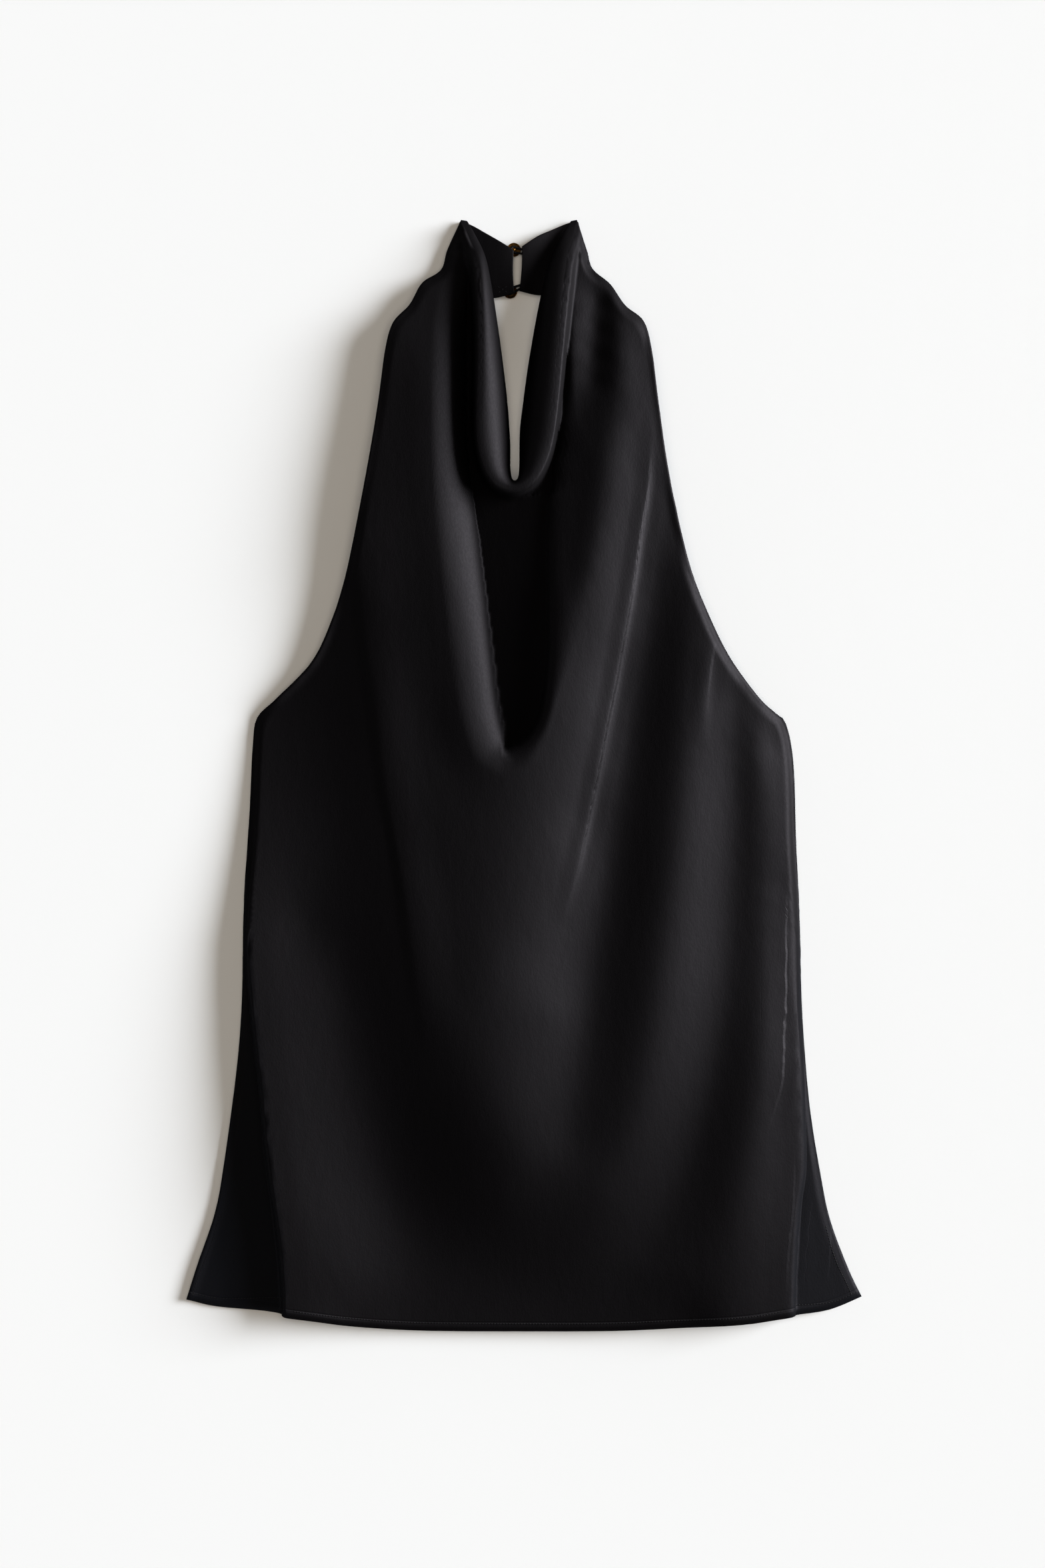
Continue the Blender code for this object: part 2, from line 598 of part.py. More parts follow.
def loop_route(centre, legs):
    """From under the right neckband, round the button's shank, and back."""
    reach = SHANK_RADIUS + SEAM_GAP + LOOP_RADIUS
    turn = np.linspace(np.pi / 2, 3 * np.pi / 2, LOOP_TURN_STEPS)
    bend = [(centre[0] + reach * np.cos(a), centre[1] + reach * np.sin(a)) for a in turn]
    tucked = [(leg[0] + LOOP_TUCK, leg[1]) for leg in legs]
    return [tucked[0], legs[0]] + bend + [legs[1], tucked[1]]


def make_loop(name, centre, legs, collection):
    curve = bpy.data.curves.new(name, "CURVE")
    curve.dimensions = "3D"
    curve.bevel_depth = LOOP_RADIUS * MM
    curve.bevel_resolution = 2
    curve.use_fill_caps = True
    route = loop_route(centre, legs)
    spline = curve.splines.new("POLY")
    spline.points.add(len(route) - 1)
    for point, (x, y) in zip(spline.points, route):
        point.co = (x * MM, y * MM, LOOP_HEIGHT * MM, 1)
    return put(name, curve, "cord", collection)


def make_top():
    clear_scene()
    top = bpy.data.collections.new("Halter neck top")
    bpy.context.scene.collection.children.link(top)
    make_front(top)
    make_back(top)
    make_neckband("neckband_left", BAND_LEFT, top)
    make_neckband("neckband_right", BAND_RIGHT, top)
    for closure in CLOSURES:
        make_button(closure.button, closure.centre, top)
        make_loop(closure.loop, closure.centre, closure.legs, top)


make_top()
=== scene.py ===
# %% [markdown]
# # A black satin halter neck top, laid flat
#
# The top comes packed, as a plain model with one node for each piece. This lesson dresses that
# model: it drapes a finer satin front over the same crests and troughs, sews the hems, turns the
# buttons and covers the cord loops. Lengths in the tables are millimetres, as a pattern cutter
# writes them, and heights count from the floor.

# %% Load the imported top
import math
from collections import namedtuple

import bmesh
import bpy
import numpy as np
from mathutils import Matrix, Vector
from mathutils.bvhtree import BVHTree


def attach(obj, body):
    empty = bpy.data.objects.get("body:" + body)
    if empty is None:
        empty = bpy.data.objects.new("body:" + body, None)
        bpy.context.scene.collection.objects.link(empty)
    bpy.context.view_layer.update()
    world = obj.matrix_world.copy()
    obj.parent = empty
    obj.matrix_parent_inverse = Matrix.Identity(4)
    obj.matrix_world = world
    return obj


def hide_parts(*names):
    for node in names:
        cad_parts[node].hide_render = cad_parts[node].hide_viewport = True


MM = 0.001

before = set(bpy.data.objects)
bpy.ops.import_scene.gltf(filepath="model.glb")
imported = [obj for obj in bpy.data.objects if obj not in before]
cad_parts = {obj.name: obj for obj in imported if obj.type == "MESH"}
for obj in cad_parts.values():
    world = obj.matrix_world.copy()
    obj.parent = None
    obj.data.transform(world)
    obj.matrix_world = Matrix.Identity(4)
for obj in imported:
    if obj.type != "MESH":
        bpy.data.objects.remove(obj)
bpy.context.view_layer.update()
print("packed nodes:", ", ".join(sorted(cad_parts)))


# %% [markdown]
# ## Smooth lines
#
# A cutter draws an edge through a few marked points with a curved ruler. Here a Catmull-Rom curve
# does that. It passes through every mark, so the tables below stay short. The same curve also
# carries a third column, the height of the cloth, along with it.


# %% Draw a smooth line through marked points
def ease(share):
    """0 to 1 with level ends."""
    share = np.clip(share, 0, 1)
    return share * share * (3 - 2 * share)


def step_lengths(line):
    return np.linalg.norm(np.diff(line[:, :2], axis=0), axis=1)


def picked(line, share, shares):
    """The line's columns at these shares of its length."""
    return np.column_stack([np.interp(shares, share, column) for column in line.T])


def dense_line(points, steps=14):
    """The smooth curve through the points, in short steps, and each point's share of its length."""
    points = np.array(points, float)
    padded = np.vstack([2 * points[0] - points[1], points, 2 * points[-1] - points[-2]])
    t = np.linspace(0, 1, steps, endpoint=False)[:, None]
    pieces = []
    for a, b, c, d in zip(padded, padded[1:], padded[2:], padded[3:]):
        bend = (2 * a - 5 * b + 4 * c - d) * t**2 + (3 * b - a - 3 * c + d) * t**3
        pieces.append(0.5 * (2 * b + (c - a) * t + bend))
    line = np.vstack(pieces + [points[-1:]])
    run = np.cumsum(step_lengths(line))
    share = np.concatenate([[0], run]) / run[-1]
    return line, share


def along(points, shares):
    """The places at these shares of the length of the smooth curve through the points."""
    return picked(*dense_line(points), shares)


def nearest(places, line):
    """For each x, y: how far the line is, its nearest point, and the side, which is above 0 on the
    left of the line's run."""
    gap = places[:, None, :2] - line[None, :, :2]
    distance = np.linalg.norm(gap, axis=2)
    index = distance.argmin(axis=1)
    step = np.gradient(line[:, :2], axis=0)[index]
    rows = np.arange(len(places))
    side = step[:, 0] * gap[rows, index, 1] - step[:, 1] * gap[rows, index, 0]
    return distance[rows, index], index, side


print("half way along a right angle:", along([(0, 0), (10, 0), (10, 10)], [0.5]).round(1))

# %% [markdown]
# ## The edges of the front
#
# A flat garment is read edge by edge: two sides that take in the armhole and the side seam, a hem,
# and the rim of the neck, where the cloth rolls over to the inside. The last line is the edge of
# the facing, the cloth that has turned inside. Each row is x, y and, but for the hem, the height of
# the upper face.

# %% The outline of the front
LEFT_SIDE = [
    (-42.5, 374.2, 4), (-51.7, 354, 6), (-56.0, 340, 9), (-68.6, 331, 14), (-77.0, 316, 18),
    (-88.0, 304, 20.5), (-93.3, 286, 21.5), (-97.7, 253, 23), (-103, 220, 24.5), (-110.4, 180, 24),
    (-120, 134, 20), (-130.5, 101, 17), (-143.5, 75, 14), (-166, 52, 9.5), (-180, 38.5, 3.8),
    (-183, 20, 3), (-184.5, -10, 3), (-186.7, -76, 3.2), (-189.3, -140, 3.8), (-193.6, -196, 4.4),
    (-202.4, -263, 5), (-208.5, -296, 5.2), (-220, -330, 5.2), (-227.7, -354, 4.6),
]
RIGHT_SIDE = [
    (35.6, 374.2, 4), (42.4, 353, 6), (46.2, 340.6, 9), (58, 330, 14), (68, 315.5, 17),
    (80.6, 304.5, 18), (86.0, 283, 22.6), (90.2, 250, 26), (95.4, 213, 26), (102, 178.5, 24.4),
    (111.5, 140, 22), (122.5, 111, 20), (138, 79.5, 17), (158, 52, 13), (170, 41, 9),
    (176, 35.5, 4.5), (180.6, 17, 3.6), (182.6, -12, 3.4), (183.5, -71, 3.2), (184, -140, 3),
    (190.4, -212, 3), (200, -270, 3), (206.6, -301, 3.2), (219, -334, 3.4), (227.7, -352, 3.4),
]
HEM = [
    (-227.7, -354), (-208, -358.6), (-173, -362), (-141, -367.6), (-112, -371.7), (-67, -374.6),
    (0, -375), (60, -374.6), (102, -372.6), (150, -369.6), (178, -365), (205, -361), (227.7, -352),
]
RIM = [
    (-42.5, 374.2, 4), (-36, 359, 11), (-31, 346, 20), (-28.6, 325, 28), (-27.6, 295, 33),
    (-27.8, 262, 35), (-28, 232, 35), (-25.6, 213, 35), (-19.5, 199, 34.5), (-9.6, 193.2, 34),
    (1.5, 196.4, 35), (9.2, 207, 35.4), (15, 224, 35), (18.8, 250, 34.4), (22.6, 290, 32.6),
    (25.8, 322, 28.4), (29, 348, 19.6), (32.6, 362, 11), (35.6, 374.2, 4),
]
FACING_EDGE = [
    (-38.4, 373.4, 4.2), (-33, 364, 7), (-26.4, 350, 8.5), (-22.5, 333, 9.5), (-18.2, 306, 7),
    (-14, 275, 5), (-11.2, 250, 5), (-9.4, 224, 5.5), (-9.2, 206, 7), (-7.6, 198.5, 9),
    (-4.4, 199.2, 9), (-3.3, 208, 7), (-2.9, 231, 5.5), (-0.8, 250, 5), (3.2, 279, 5),
    (9.4, 314, 7), (14.4, 335, 9.5), (20.6, 353, 8.5), (26.4, 365, 7), (31.6, 373.4, 4.2),
]

EDGES = {"left side": LEFT_SIDE, "right side": RIGHT_SIDE, "hem": HEM, "rim": RIM}
for name, edge in EDGES.items():
    print(name, "is", round(step_lengths(dense_line(edge)[0]).sum()), "mm long")

# %% [markdown]
# ## The drape
#
# A cowl is cut on the bias, so its folds run soft and long. A sculptor would place the crests and
# the troughs first and let the cloth find its way between them, and a thin plate does the same: it
# is the surface that bends least through all the given heights. Cloth simulation could make folds
# as well, but they would fall where they like. This table says where each one goes.

# %% Crests and troughs of the drape
DRAPE = {
    "arm_left": [
        (-51, 346, 11), (-61, 328, 17), (-71, 300, 23), (-71, 270, 27), (-69, 240, 29),
        (-67, 205, 30.5), (-62, 165, 31.5), (-59, 130, 31.7), (-54, 95, 31.5), (-50, 60, 31),
        (-46, 36, 30.8), (-36, 14, 30.5), (-20, 2, 31), (-6, 0, 31),
    ],
    "arm_left_base": [
        (-82, 296, 23.2), (-81, 270, 25.6), (-80, 240, 27.2), (-78, 205, 28.8), (-75, 165, 29.6),
        (-72, 130, 29.4), (-68, 95, 29), (-64, 60, 28.2), (-60, 36, 27.6), (-50, 8, 27.6),
        (-34, -10, 29.2), (-14, -14, 30.4),
    ],
    "arm_right": [
        (61, 318, 19), (61.5, 298, 22.5), (61, 274, 26), (60.5, 249, 28.8), (57.5, 224, 31.5),
        (53.5, 200, 32.7), (48.5, 165, 32.8), (42, 134, 32.7), (34.5, 100, 32), (27, 72, 31.6),
        (21, 46, 31), (13, 24, 30.6),
    ],
    "arm_right_inner": [(44, 226, 28.4), (38, 200, 29), (34, 165, 29.8), (30, 134, 30.8)],
    "arm_right_side": [
        (73, 226, 29), (68, 190, 30.3), (64, 165, 29.9), (60, 134, 28.9), (55, 100, 27.6),
        (49, 68, 25.2), (44, 36, 23.8), (36, 0, 23), (28, -30, 22.6), (20, -60, 24),
        (12, -100, 24.2),
    ],
    "arm_right_low": [
        (82, 218, 27.4), (78, 186, 27.5), (75, 163, 26.6), (71, 128, 24.8), (66, 100, 23.4),
        (60, 68, 20.3), (54, 36, 19.2), (48, 4, 18.6), (40, -28, 17.6), (32, -64, 19.8),
        (24, -100, 19.9),
    ],
    "shoulder_right": [
        (70, 305, 21.4), (75, 284, 23.4), (78, 262, 26), (80, 240, 27.6),
    ],
    "throat": [(42, 330, 15), (41, 308, 18), (40, 285, 20), (39, 262, 22.3), (37, 242, 24.4)],
    "throat_trough": [(50, 318, 14.4), (49, 296, 17.2), (47.5, 272, 20), (45, 248, 25)],
    "flank_trough": [
        (96, 208, 25.6), (92, 180, 24.2), (89, 150, 22.4), (82, 100, 18.5), (76, 60, 15.2),
        (68, 10, 12.9), (61, -40, 12.2), (55, -90, 12.6), (49, -130, 15), (44, -160, 17.5),
        (37, -205, 20.8), (32, -245, 22),
    ],
    "flank_crest": [
        (107, 140, 23.4), (108, 120, 23.2), (108, 98, 23), (110, 60, 22), (107, 10, 20),
        (102, -45, 20.4), (96, -95, 21.6), (88, -150, 24.6), (80, -205, 25.8), (66, -255, 24.2),
        (52, -285, 22),
    ],
    "flank_foot": [
        (142, 50, 15.4), (144, 0, 12.2), (143, -50, 12), (140, -100, 12.6), (137, -150, 15.4),
        (130, -190, 17.2), (122, -225, 18), (110, -265, 17), (98, -295, 16), (84, -318, 15),
    ],
    "right_shelf": [
        (156, 44, 14.4), (158, 0, 13.4), (159, -50, 13.6), (160, -100, 14.4), (162, -150, 18),
        (160, -190, 22), (156, -222, 23.8), (148, -262, 23.6), (142, -296, 22.8), (137, -330, 21),
        (134, -368, 18.5),
    ],
    "right_underarm": [(168, 20, 10.4), (171, -10, 11.2), (173, -40, 11.8)],
    "right_fold": [
        (172, -76, 11.8), (173, -110, 12.6), (174, -160, 16), (175, -204, 19.5), (175, -245, 18),
        (173, -290, 16.8), (170, -330, 16.6), (168, -368, 16),
    ],
    "step": [
        (-108, 160, 25.8), (-104, 120, 24.4), (-98, 95, 24), (-94, 44, 24), (-88, 1, 23.6),
        (-80, -41, 23.6), (-74, -84, 25), (-68, -124, 26.4), (-62, -165, 27.3), (-48, -205, 27),
        (-36, -235, 26), (-26, -262, 22.8), (-14, -285, 20.6),
    ],
    "step_foot": [
        (-126, 110, 17), (-126, 84, 15.6), (-127, 44, 14.6), (-127, 1, 14.6), (-127, -41, 14),
        (-128, -84, 13.6), (-124, -130, 14), (-118, -170, 15.3), (-108, -210, 15),
        (-98, -245, 12.5), (-88, -285, 9.4), (-74, -320, 8.8),
    ],
    "left_underarm": [(-166, 32, 8), (-152, 0, 10.6), (-150, -40, 12)],
    "left_fold": [
        (-176, -50, 12.8), (-176, -90, 15.4), (-173, -130, 18.5), (-168, -170, 21),
        (-165, -207, 23), (-160, -257, 24), (-154, -297, 23.5), (-150, -337, 22.5),
        (-148, -368, 21.5),
    ],
    "left_slope": [
        (-146, -100, 12.2), (-140, -160, 16.4), (-136, -220, 18.1), (-130, -280, 17.4),
        (-122, -335, 17.3),
    ],
    "centre": [
        (-16, -45, 29.5), (-22, -95, 29.4), (-26, -155, 30.4), (-18, -215, 29.4), (-8, -245, 26.8),
        (6, -275, 22.8),
    ],
    "centre_right": [(18, -160, 23.6), (16, -220, 24.2)],
    "centre_left": [(-56, -60, 26.6), (-48, -110, 28.2), (-48, -160, 29.3)],
    "hem_trough": [
        (-46, -335, 9.2), (-16, -340, 10.2), (14, -342, 11.4), (44, -342, 12.6), (74, -338, 14),
        (104, -332, 17.6),
    ],
    "hem_line": [
        (-112, -372, 13), (-70, -374, 8.8), (0, -375, 9.4), (60, -375, 11), (110, -373, 13.5),
    ],
}
DRAPE_STEP = 18.0
DRAPE_SLACK = 0.002
DRAPE_UNIT = 100.0


def thin_plate(places, knots):
    """The kernel of a thin plate that bends through the knots."""
    squared = ((places[:, None, :2] - knots[None, :, :2]) ** 2).sum(axis=2)
    return squared * np.log(squared + 1e-9)


def drape_height(places):
    """The smooth cloth through all the crests and troughs of the drape."""
    knots = []
    for points in DRAPE.values():
        line, share = dense_line(points)
        stops = np.linspace(0, 1, max(2, round(step_lengths(line).sum() / DRAPE_STEP) + 1))
        knots.append(picked(line, share, stops))
    knots = np.vstack(knots) / DRAPE_UNIT
    flat = np.column_stack([np.ones(len(knots)), knots[:, :2]])
    stiff = thin_plate(knots, knots) + DRAPE_SLACK * np.eye(len(knots))
    system = np.block([[stiff, flat], [flat.T, np.zeros((3, 3))]])
    weights = np.linalg.solve(system, np.concatenate([knots[:, 2], np.zeros(3)]))
    scaled = places / DRAPE_UNIT
    height = thin_plate(scaled, knots) @ weights[:-3]
    return DRAPE_UNIT * (height + weights[-3] + scaled @ weights[-2:])


print(len(DRAPE), "crests and troughs; height in the middle of the front:",
      drape_height(np.array([[0.0, -60.0]])).round(1), "mm")

# %% [markdown]
# ## Rolls and narrow folds
#
# Three edges are too steep for a thin plate: the deep pocket under the cowl, and the fold on either
# side where the front turns under and runs on as the flared side piece. Each row there is x, y,
# the run of the fall and the height of its foot. The hand is the side of the edge, along its run,
# to which the cloth falls. It starts down gently, falls steeply, and lands. Three narrow folds lie
# on top, with a height as their third column and a width to either hand: the long crease that
# pulls from the shoulder, one at the armhole, and a step on the left.

# %% Steep rolls: the pocket and the side folds
Drop = namedtuple("Drop", "hand edge")
POCKET = Drop("left", [
    (-50, 352, 12, 25), (-57, 328, 19, 20), (-61, 300, 22, 16), (-62, 270, 23, 15),
    (-62, 240, 23, 15), (-61, 205, 24, 15), (-58, 160, 27, 15), (-53, 120, 27, 15),
    (-48, 76, 27, 15), (-42, 38, 26, 15), (-33, 12, 25, 15), (-19, 1, 24, 15), (-6, 1, 23, 15),
    (3, 9, 16, 15), (11, 22, 10, 15), (17, 36, 8, 15), (22, 54, 9, 15), (32, 84, 17, 15),
    (41, 122, 26, 15), (49, 160, 34, 15), (54, 192, 38, 15), (45, 220, 27, 12), (36, 240, 13, 8),
    (34, 262, 6, 8), (34, 296, 5, 7), (35, 322, 5, 3), (37, 345, 5, 0),
])
POCKET_TILT = 0.3
POCKET_START = 1.4
POCKET_LANDING = 0.32
SIDE_FOLDS = [
    Drop("right", [
        (-183.5, -10, 4, 3.6), (-183, -60, 5, 3.8), (-180.5, -120, 6, 3.6), (-176.4, -165, 6, 3.4),
        (-171.6, -207, 6, 3.2), (-166.6, -257, 6, 3), (-160.8, -297, 6, 3), (-156.4, -337, 6, 3),
        (-155, -376, 6, 3),
    ]),
    Drop("left", [
        (182.5, -30, 4, 3.6), (181, -80, 5, 3.8), (179.5, -120, 6, 4), (179.5, -161, 6, 4.2),
        (181, -212, 6, 4.4), (182, -262, 6, 4.6), (178, -294, 6, 4.6), (175.6, -332, 6, 4.6),
        (174.8, -376, 6, 4.6),
    ]),
]
SIDE_LEAN = 4.0
LEAN_REACH = 8.0
LEAN_START = 0.3
ROLL_START = 2.0
ROLL_LANDING = 0.5


def round_over(share, start=ROLL_START, landing=ROLL_LANDING):
    """0 to 1 down the side of a round roll, which starts gently, falls steeply and lands."""
    return 1 - (1 - np.clip(share, 0, 1) ** start) ** landing


def pocket_roll(share):
    """The same down the side of the pocket, which slopes evenly before it falls."""
    return round_over(share, POCKET_START, POCKET_LANDING)


def drop_off(places, drop, fall=round_over):
    """For each place: how far down the drop it is, from 0 above to 1 at the foot, the height at
    the foot, how far the edge is, and the share of the edge's length there."""
    line, share = dense_line(drop.edge)
    distance, index, side = nearest(places, line)
    below = side > 0 if drop.hand == "left" else side < 0
    down = np.where(below, fall(distance / line[index, 2]), 0)
    return down, line[index, 3], distance, share[index]


print("a roll half way down its run:", round_over(0.5).round(2))

# %% Narrow folds
Fold = namedtuple("Fold", "name crest left_hand right_hand sharp")
FOLDS = [
    Fold("cowl_crease", [
        (86, 240, 0), (83.5, 196, 0.8), (78, 160, 1.2), (72, 122, 1.4), (65, 83, 1.5),
        (56.5, 37, 1.6), (49, 0, 1.6), (41.5, -37, 1.3), (34, -70, 0.8), (24, -104, 0),
    ], 4.5, 11, 0.3),
    Fold("armhole_crease", [
        (126, 90, 0), (124, 72, 0.8), (121.5, 48, 0.9), (120, 16, 0),
    ], 5, 12, 0.1),
    Fold("step_edge", [
        (-112, 176, 0), (-110, 130, 0.8), (-107, 92, 1.2), (-100, 44, 1.4), (-95, 1, 1.3),
        (-87, -41, 1.3), (-80, -84, 1.4), (-75, -124, 1), (-66, -180, 0),
    ], 30, 6, 0.1),
]


def crest_shape(distance, width, sharp):
    reach = np.clip(distance / width, 0, 1)
    return (1 - sharp) * np.cos(np.pi / 2 * reach) ** 2 + sharp * (1 - reach) ** 2


def fold_lift(places, fold):
    """How far one narrow fold lifts each place."""
    line, _ = dense_line(fold.crest)
    distance, index, side = nearest(places, line)
    width = np.where(side > 0, fold.left_hand, fold.right_hand)
    return crest_shape(distance, width, fold.sharp) * line[index, 2]


print("narrow folds:", ", ".join(fold.name for fold in FOLDS))

# %% [markdown]
# ## One sheet of cloth
#
# The front is one grid, like a woven cloth: its rows run across and its columns run down. The
# columns crowd towards the two side folds and follow them, so that their steep fall lies along the
# grid and isn't cut into steps. The first rows are the facing, which climbs from its edge inside
# the neck up to the rim.

# %% The grid of the front
EDGE_RUN = 6.0
RIM_ROLL = 6.0
RIM_DROP = 1.2
RIM_WALL = 2.0
FACING_CLIMB = 0.35
ROW_CROWDING = 1.2
FOLD_TRACK_START = 0.56
FOLD_TRACK_RUN = 0.12
FOOT_GAP = 0.4
DENSE = 241


def spread(left, right, top, bottom, u, v):
    """The sheet between four edges: top and bottom run along u, left and right down v."""
    u = u[None, :, None]
    v = v[:, None, None]
    across = (1 - v) * top[None, :, :2] + v * bottom[None, :, :2]
    down = (1 - u) * left[:, None, :2] + u * right[:, None, :2]
    corners = (1 - u) * ((1 - v) * left[0, :2] + v * left[-1, :2])
    corners = corners + u * ((1 - v) * right[0, :2] + v * right[-1, :2])
    return across + down - corners


def wall_shares(row, u, drop):
    """Where along a row the side fold's edge and the foot of its drop lie."""
    line, _ = dense_line(drop.edge)
    _, index, side = nearest(row, line)
    from_left = drop.hand == "right"
    inside = side > 0 if from_left else side < 0
    spot = inside.argmax() if from_left else len(u) - 1 - inside[::-1].argmax()
    back = max(spot - 1, 0) if from_left else min(spot + 1, len(u) - 1)
    crest = u[spot]
    if side[back] * side[spot] < 0:
        crest += (u[back] - u[spot]) * side[spot] / (side[spot] - side[back])
    length = np.linalg.norm(row[-1] - row[0])
    gap = crest if from_left else 1 - crest
    foot = max(gap - line[index[spot], 2] / length, FOOT_GAP * gap)
    return crest, foot if from_left else 1 - foot


def column_shares(places, u, v, bands):
    """Each row's columns, as shares of the row, so that they follow the two side folds down."""
    ends = np.concatenate([[0], np.cumsum(bands)])
    columns = np.arange(ends[-1] + 1)
    shares = []
    for row, down in zip(places, v):
        crest_left, foot_left = wall_shares(row, u, SIDE_FOLDS[0])
        crest_right, foot_right = wall_shares(row, u, SIDE_FOLDS[1])
        tracked = np.array([0, foot_left, crest_left, crest_right, foot_right, 1])
        follow = ease((down - FOLD_TRACK_START) / FOLD_TRACK_RUN)
        stops = ends / ends[-1] * (1 - follow) + tracked * follow
        shares.append(np.interp(columns, ends, stops))
    return np.array(shares)


# %% The height of the cloth everywhere
def cloth_height(places, left, right):
    """The upper face's height before the rim's roll, and how far the side folds lean out."""
    height = drape_height(places)
    for fold in FOLDS:
        height += fold_lift(places, fold)
    down, foot, _, _ = drop_off(places, POCKET, pocket_roll)
    height += (foot + POCKET_TILT * places[:, 0] - height) * down
    shift = np.zeros_like(places)
    for drop in SIDE_FOLDS:
        down, foot, distance, share = drop_off(places, drop)
        height += (foot - height) * down
        near = np.exp(-((distance / LEAN_REACH) ** 2)) * ease(share / LEAN_START)
        shift[:, 0] += near * (SIDE_LEAN if drop.hand == "left" else -SIDE_LEAN)
    left_gap, left_index, _ = nearest(places, left)
    right_gap, right_index, _ = nearest(places, right)
    nearer_left = left_gap < right_gap
    edge_gap = np.where(nearer_left, left_gap, right_gap)
    edge_height = np.where(nearer_left, left[left_index, 2], right[right_index, 2])
    height = edge_height + (height - edge_height) * ease(edge_gap / EDGE_RUN)
    return height, shift


def front_sheet(bands, rows, facing_rows):
    """The upper face of the front, in rows from the facing's edge to the rim and on to the hem."""
    dense = np.linspace(0, 1, DENSE)
    v = np.linspace(0, 1, rows) ** ROW_CROWDING
    left = along(LEFT_SIDE, v)
    right = along(RIGHT_SIDE, v)
    even = spread(left, right, along(RIM, dense), along(HEM, dense), dense, v)
    shares = column_shares(even, dense, v, bands)
    places = np.array([picked(row, dense, share) for share, row in zip(shares, even)])
    columns = places.shape[1]
    places = places.reshape(-1, 2)
    height, shift = cloth_height(places, along(LEFT_SIDE, dense), along(RIGHT_SIDE, dense))

    rim_line, _ = dense_line(RIM)
    rim_gap, rim_index, _ = nearest(places, rim_line)
    roll = rim_line[rim_index, 2] - RIM_DROP * (rim_gap / RIM_ROLL) ** 2
    on_roll = 1 - ease((rim_gap - RIM_ROLL + RIM_WALL) / (2 * RIM_WALL))
    height = height + np.maximum(roll - height, 0) * on_roll
    body = np.column_stack([places + shift, height]).reshape(rows, columns, 3)
    rim = along(RIM, shares[0])
    body[0] = rim

    edge = along(FACING_EDGE, shares[0])
    facing = []
    for share in np.linspace(0, 1, facing_rows, endpoint=False):
        flat = edge[:, :2] + (rim[:, :2] - edge[:, :2]) * share
        climb = np.sin(np.pi / 2 * share) ** FACING_CLIMB
        tall = edge[:, 2] + (rim[:, 2] - edge[:, 2]) * climb
        facing.append(np.column_stack([flat, tall]))
    return np.concatenate([np.array(facing), body])


def finished(made, name, smooth=True):
    """The mesh of a bmesh, which is then let go."""
    mesh = bpy.data.meshes.new(name)
    made.to_mesh(mesh)
    made.free()
    if smooth:
        mesh.shade_smooth()
    return mesh


def sheet_mesh(name, grid):
    """A grid mesh whose points are moved onto the sheet, facing up."""
    rows, columns, _ = grid.shape
    made = bmesh.new()
    bmesh.ops.create_grid(made, x_segments=columns - 1, y_segments=rows - 1, size=1)
    made.verts.ensure_lookup_table()
    order = sorted(range(len(made.verts)), key=lambda i: (-made.verts[i].co.y, made.verts[i].co.x))
    for vertex, place in zip(order, grid.reshape(-1, 3)):
        made.verts[vertex].co = place * MM
    return finished(made, name), order


FRONT_BANDS = (24, 12, 148, 12, 20)
FRONT_ROWS = 200
FACING_ROWS = 24
front_grid = front_sheet(FRONT_BANDS, FRONT_ROWS, FACING_ROWS)
front_mesh, front_order = sheet_mesh("front_satin", front_grid)
print("front:", len(front_mesh.polygons), "faces, up to", front_grid[:, :, 2].max().round(1), "mm")

# %% [markdown]
# ## Marks that ride on the cloth
#
# Some details are finer than any mesh should be: the crisp line where a crease breaks, the step of
# a turned hem, the line that its stitches pull in. The cloth carries numbers for them instead.
# Each point stores how far it is from the nearest crease line, how deep that crease is, how far it
# is from the hem, and whether it is turned under at a side. Such distances are straight ramps, so
# they stay exact between the points, and the material turns them into relief and painted light.

# %% Distances to the creases and the hem, stored on the cloth
CREASES = {
    "cowl": [
        (85, 226, 0), (83, 195, 0.25), (78, 164, 0.4), (72, 122, 0.45), (65, 83, 0.5),
        (61, 61, 0.5), (56, 37, 0.5), (49, 0, 0.5), (41.5, -37, 0.4), (36.6, -60, 0.3),
        (27.2, -92, 0),
    ],
    "armhole_right": [(127.5, 93, 0), (126, 80, 0.25), (124, 66, 0.25), (122, 40, 0)],
    "right_side": [
        (176, -73, 0), (175.5, -110, 0.4), (174.6, -160, 0.5), (172.6, -204, 0.5), (168, -222, 0.3),
        (163, -238, 0),
    ],
    "side_fold": [
        (181, -255, 0), (180.4, -285, 0.45), (178.6, -305, 0.45), (176.6, -325, 0.35),
        (175.4, -352, 0),
    ],
    "side_piece": [(206.5, -300, 0), (205.5, -318, 0.25), (204, -346, 0)],
}
CREASE_REACH = 16.0
CREASE_FADE = 9.0
HEM_REACH = 12.0
SIDE_START = 0.2


def store(mesh, order, name, values):
    """Keeps one number for each point of a sheet, in the order of its grid."""
    stored = np.zeros(len(mesh.vertices), np.float32)
    stored[np.array(order)] = values
    mesh.attributes.new(name, "FLOAT", "POINT").data.foreach_set("value", stored)


def crease_marks(places):
    """The distance to the nearest crease line, above 0 on its +X side, and its depth there."""
    best = np.full(len(places), CREASE_REACH)
    depth = np.zeros(len(places))
    for points in CREASES.values():
        line, _ = dense_line(points)
        distance, index, side = nearest(places, line)
        closer = distance < np.abs(best)
        best = np.where(closer, np.where(side > 0, distance, -distance), best)
        depth = np.where(closer, line[index, 2], depth)
    return best, depth * (1 - ease((np.abs(best) - CREASE_FADE) / (CREASE_REACH - CREASE_FADE)))


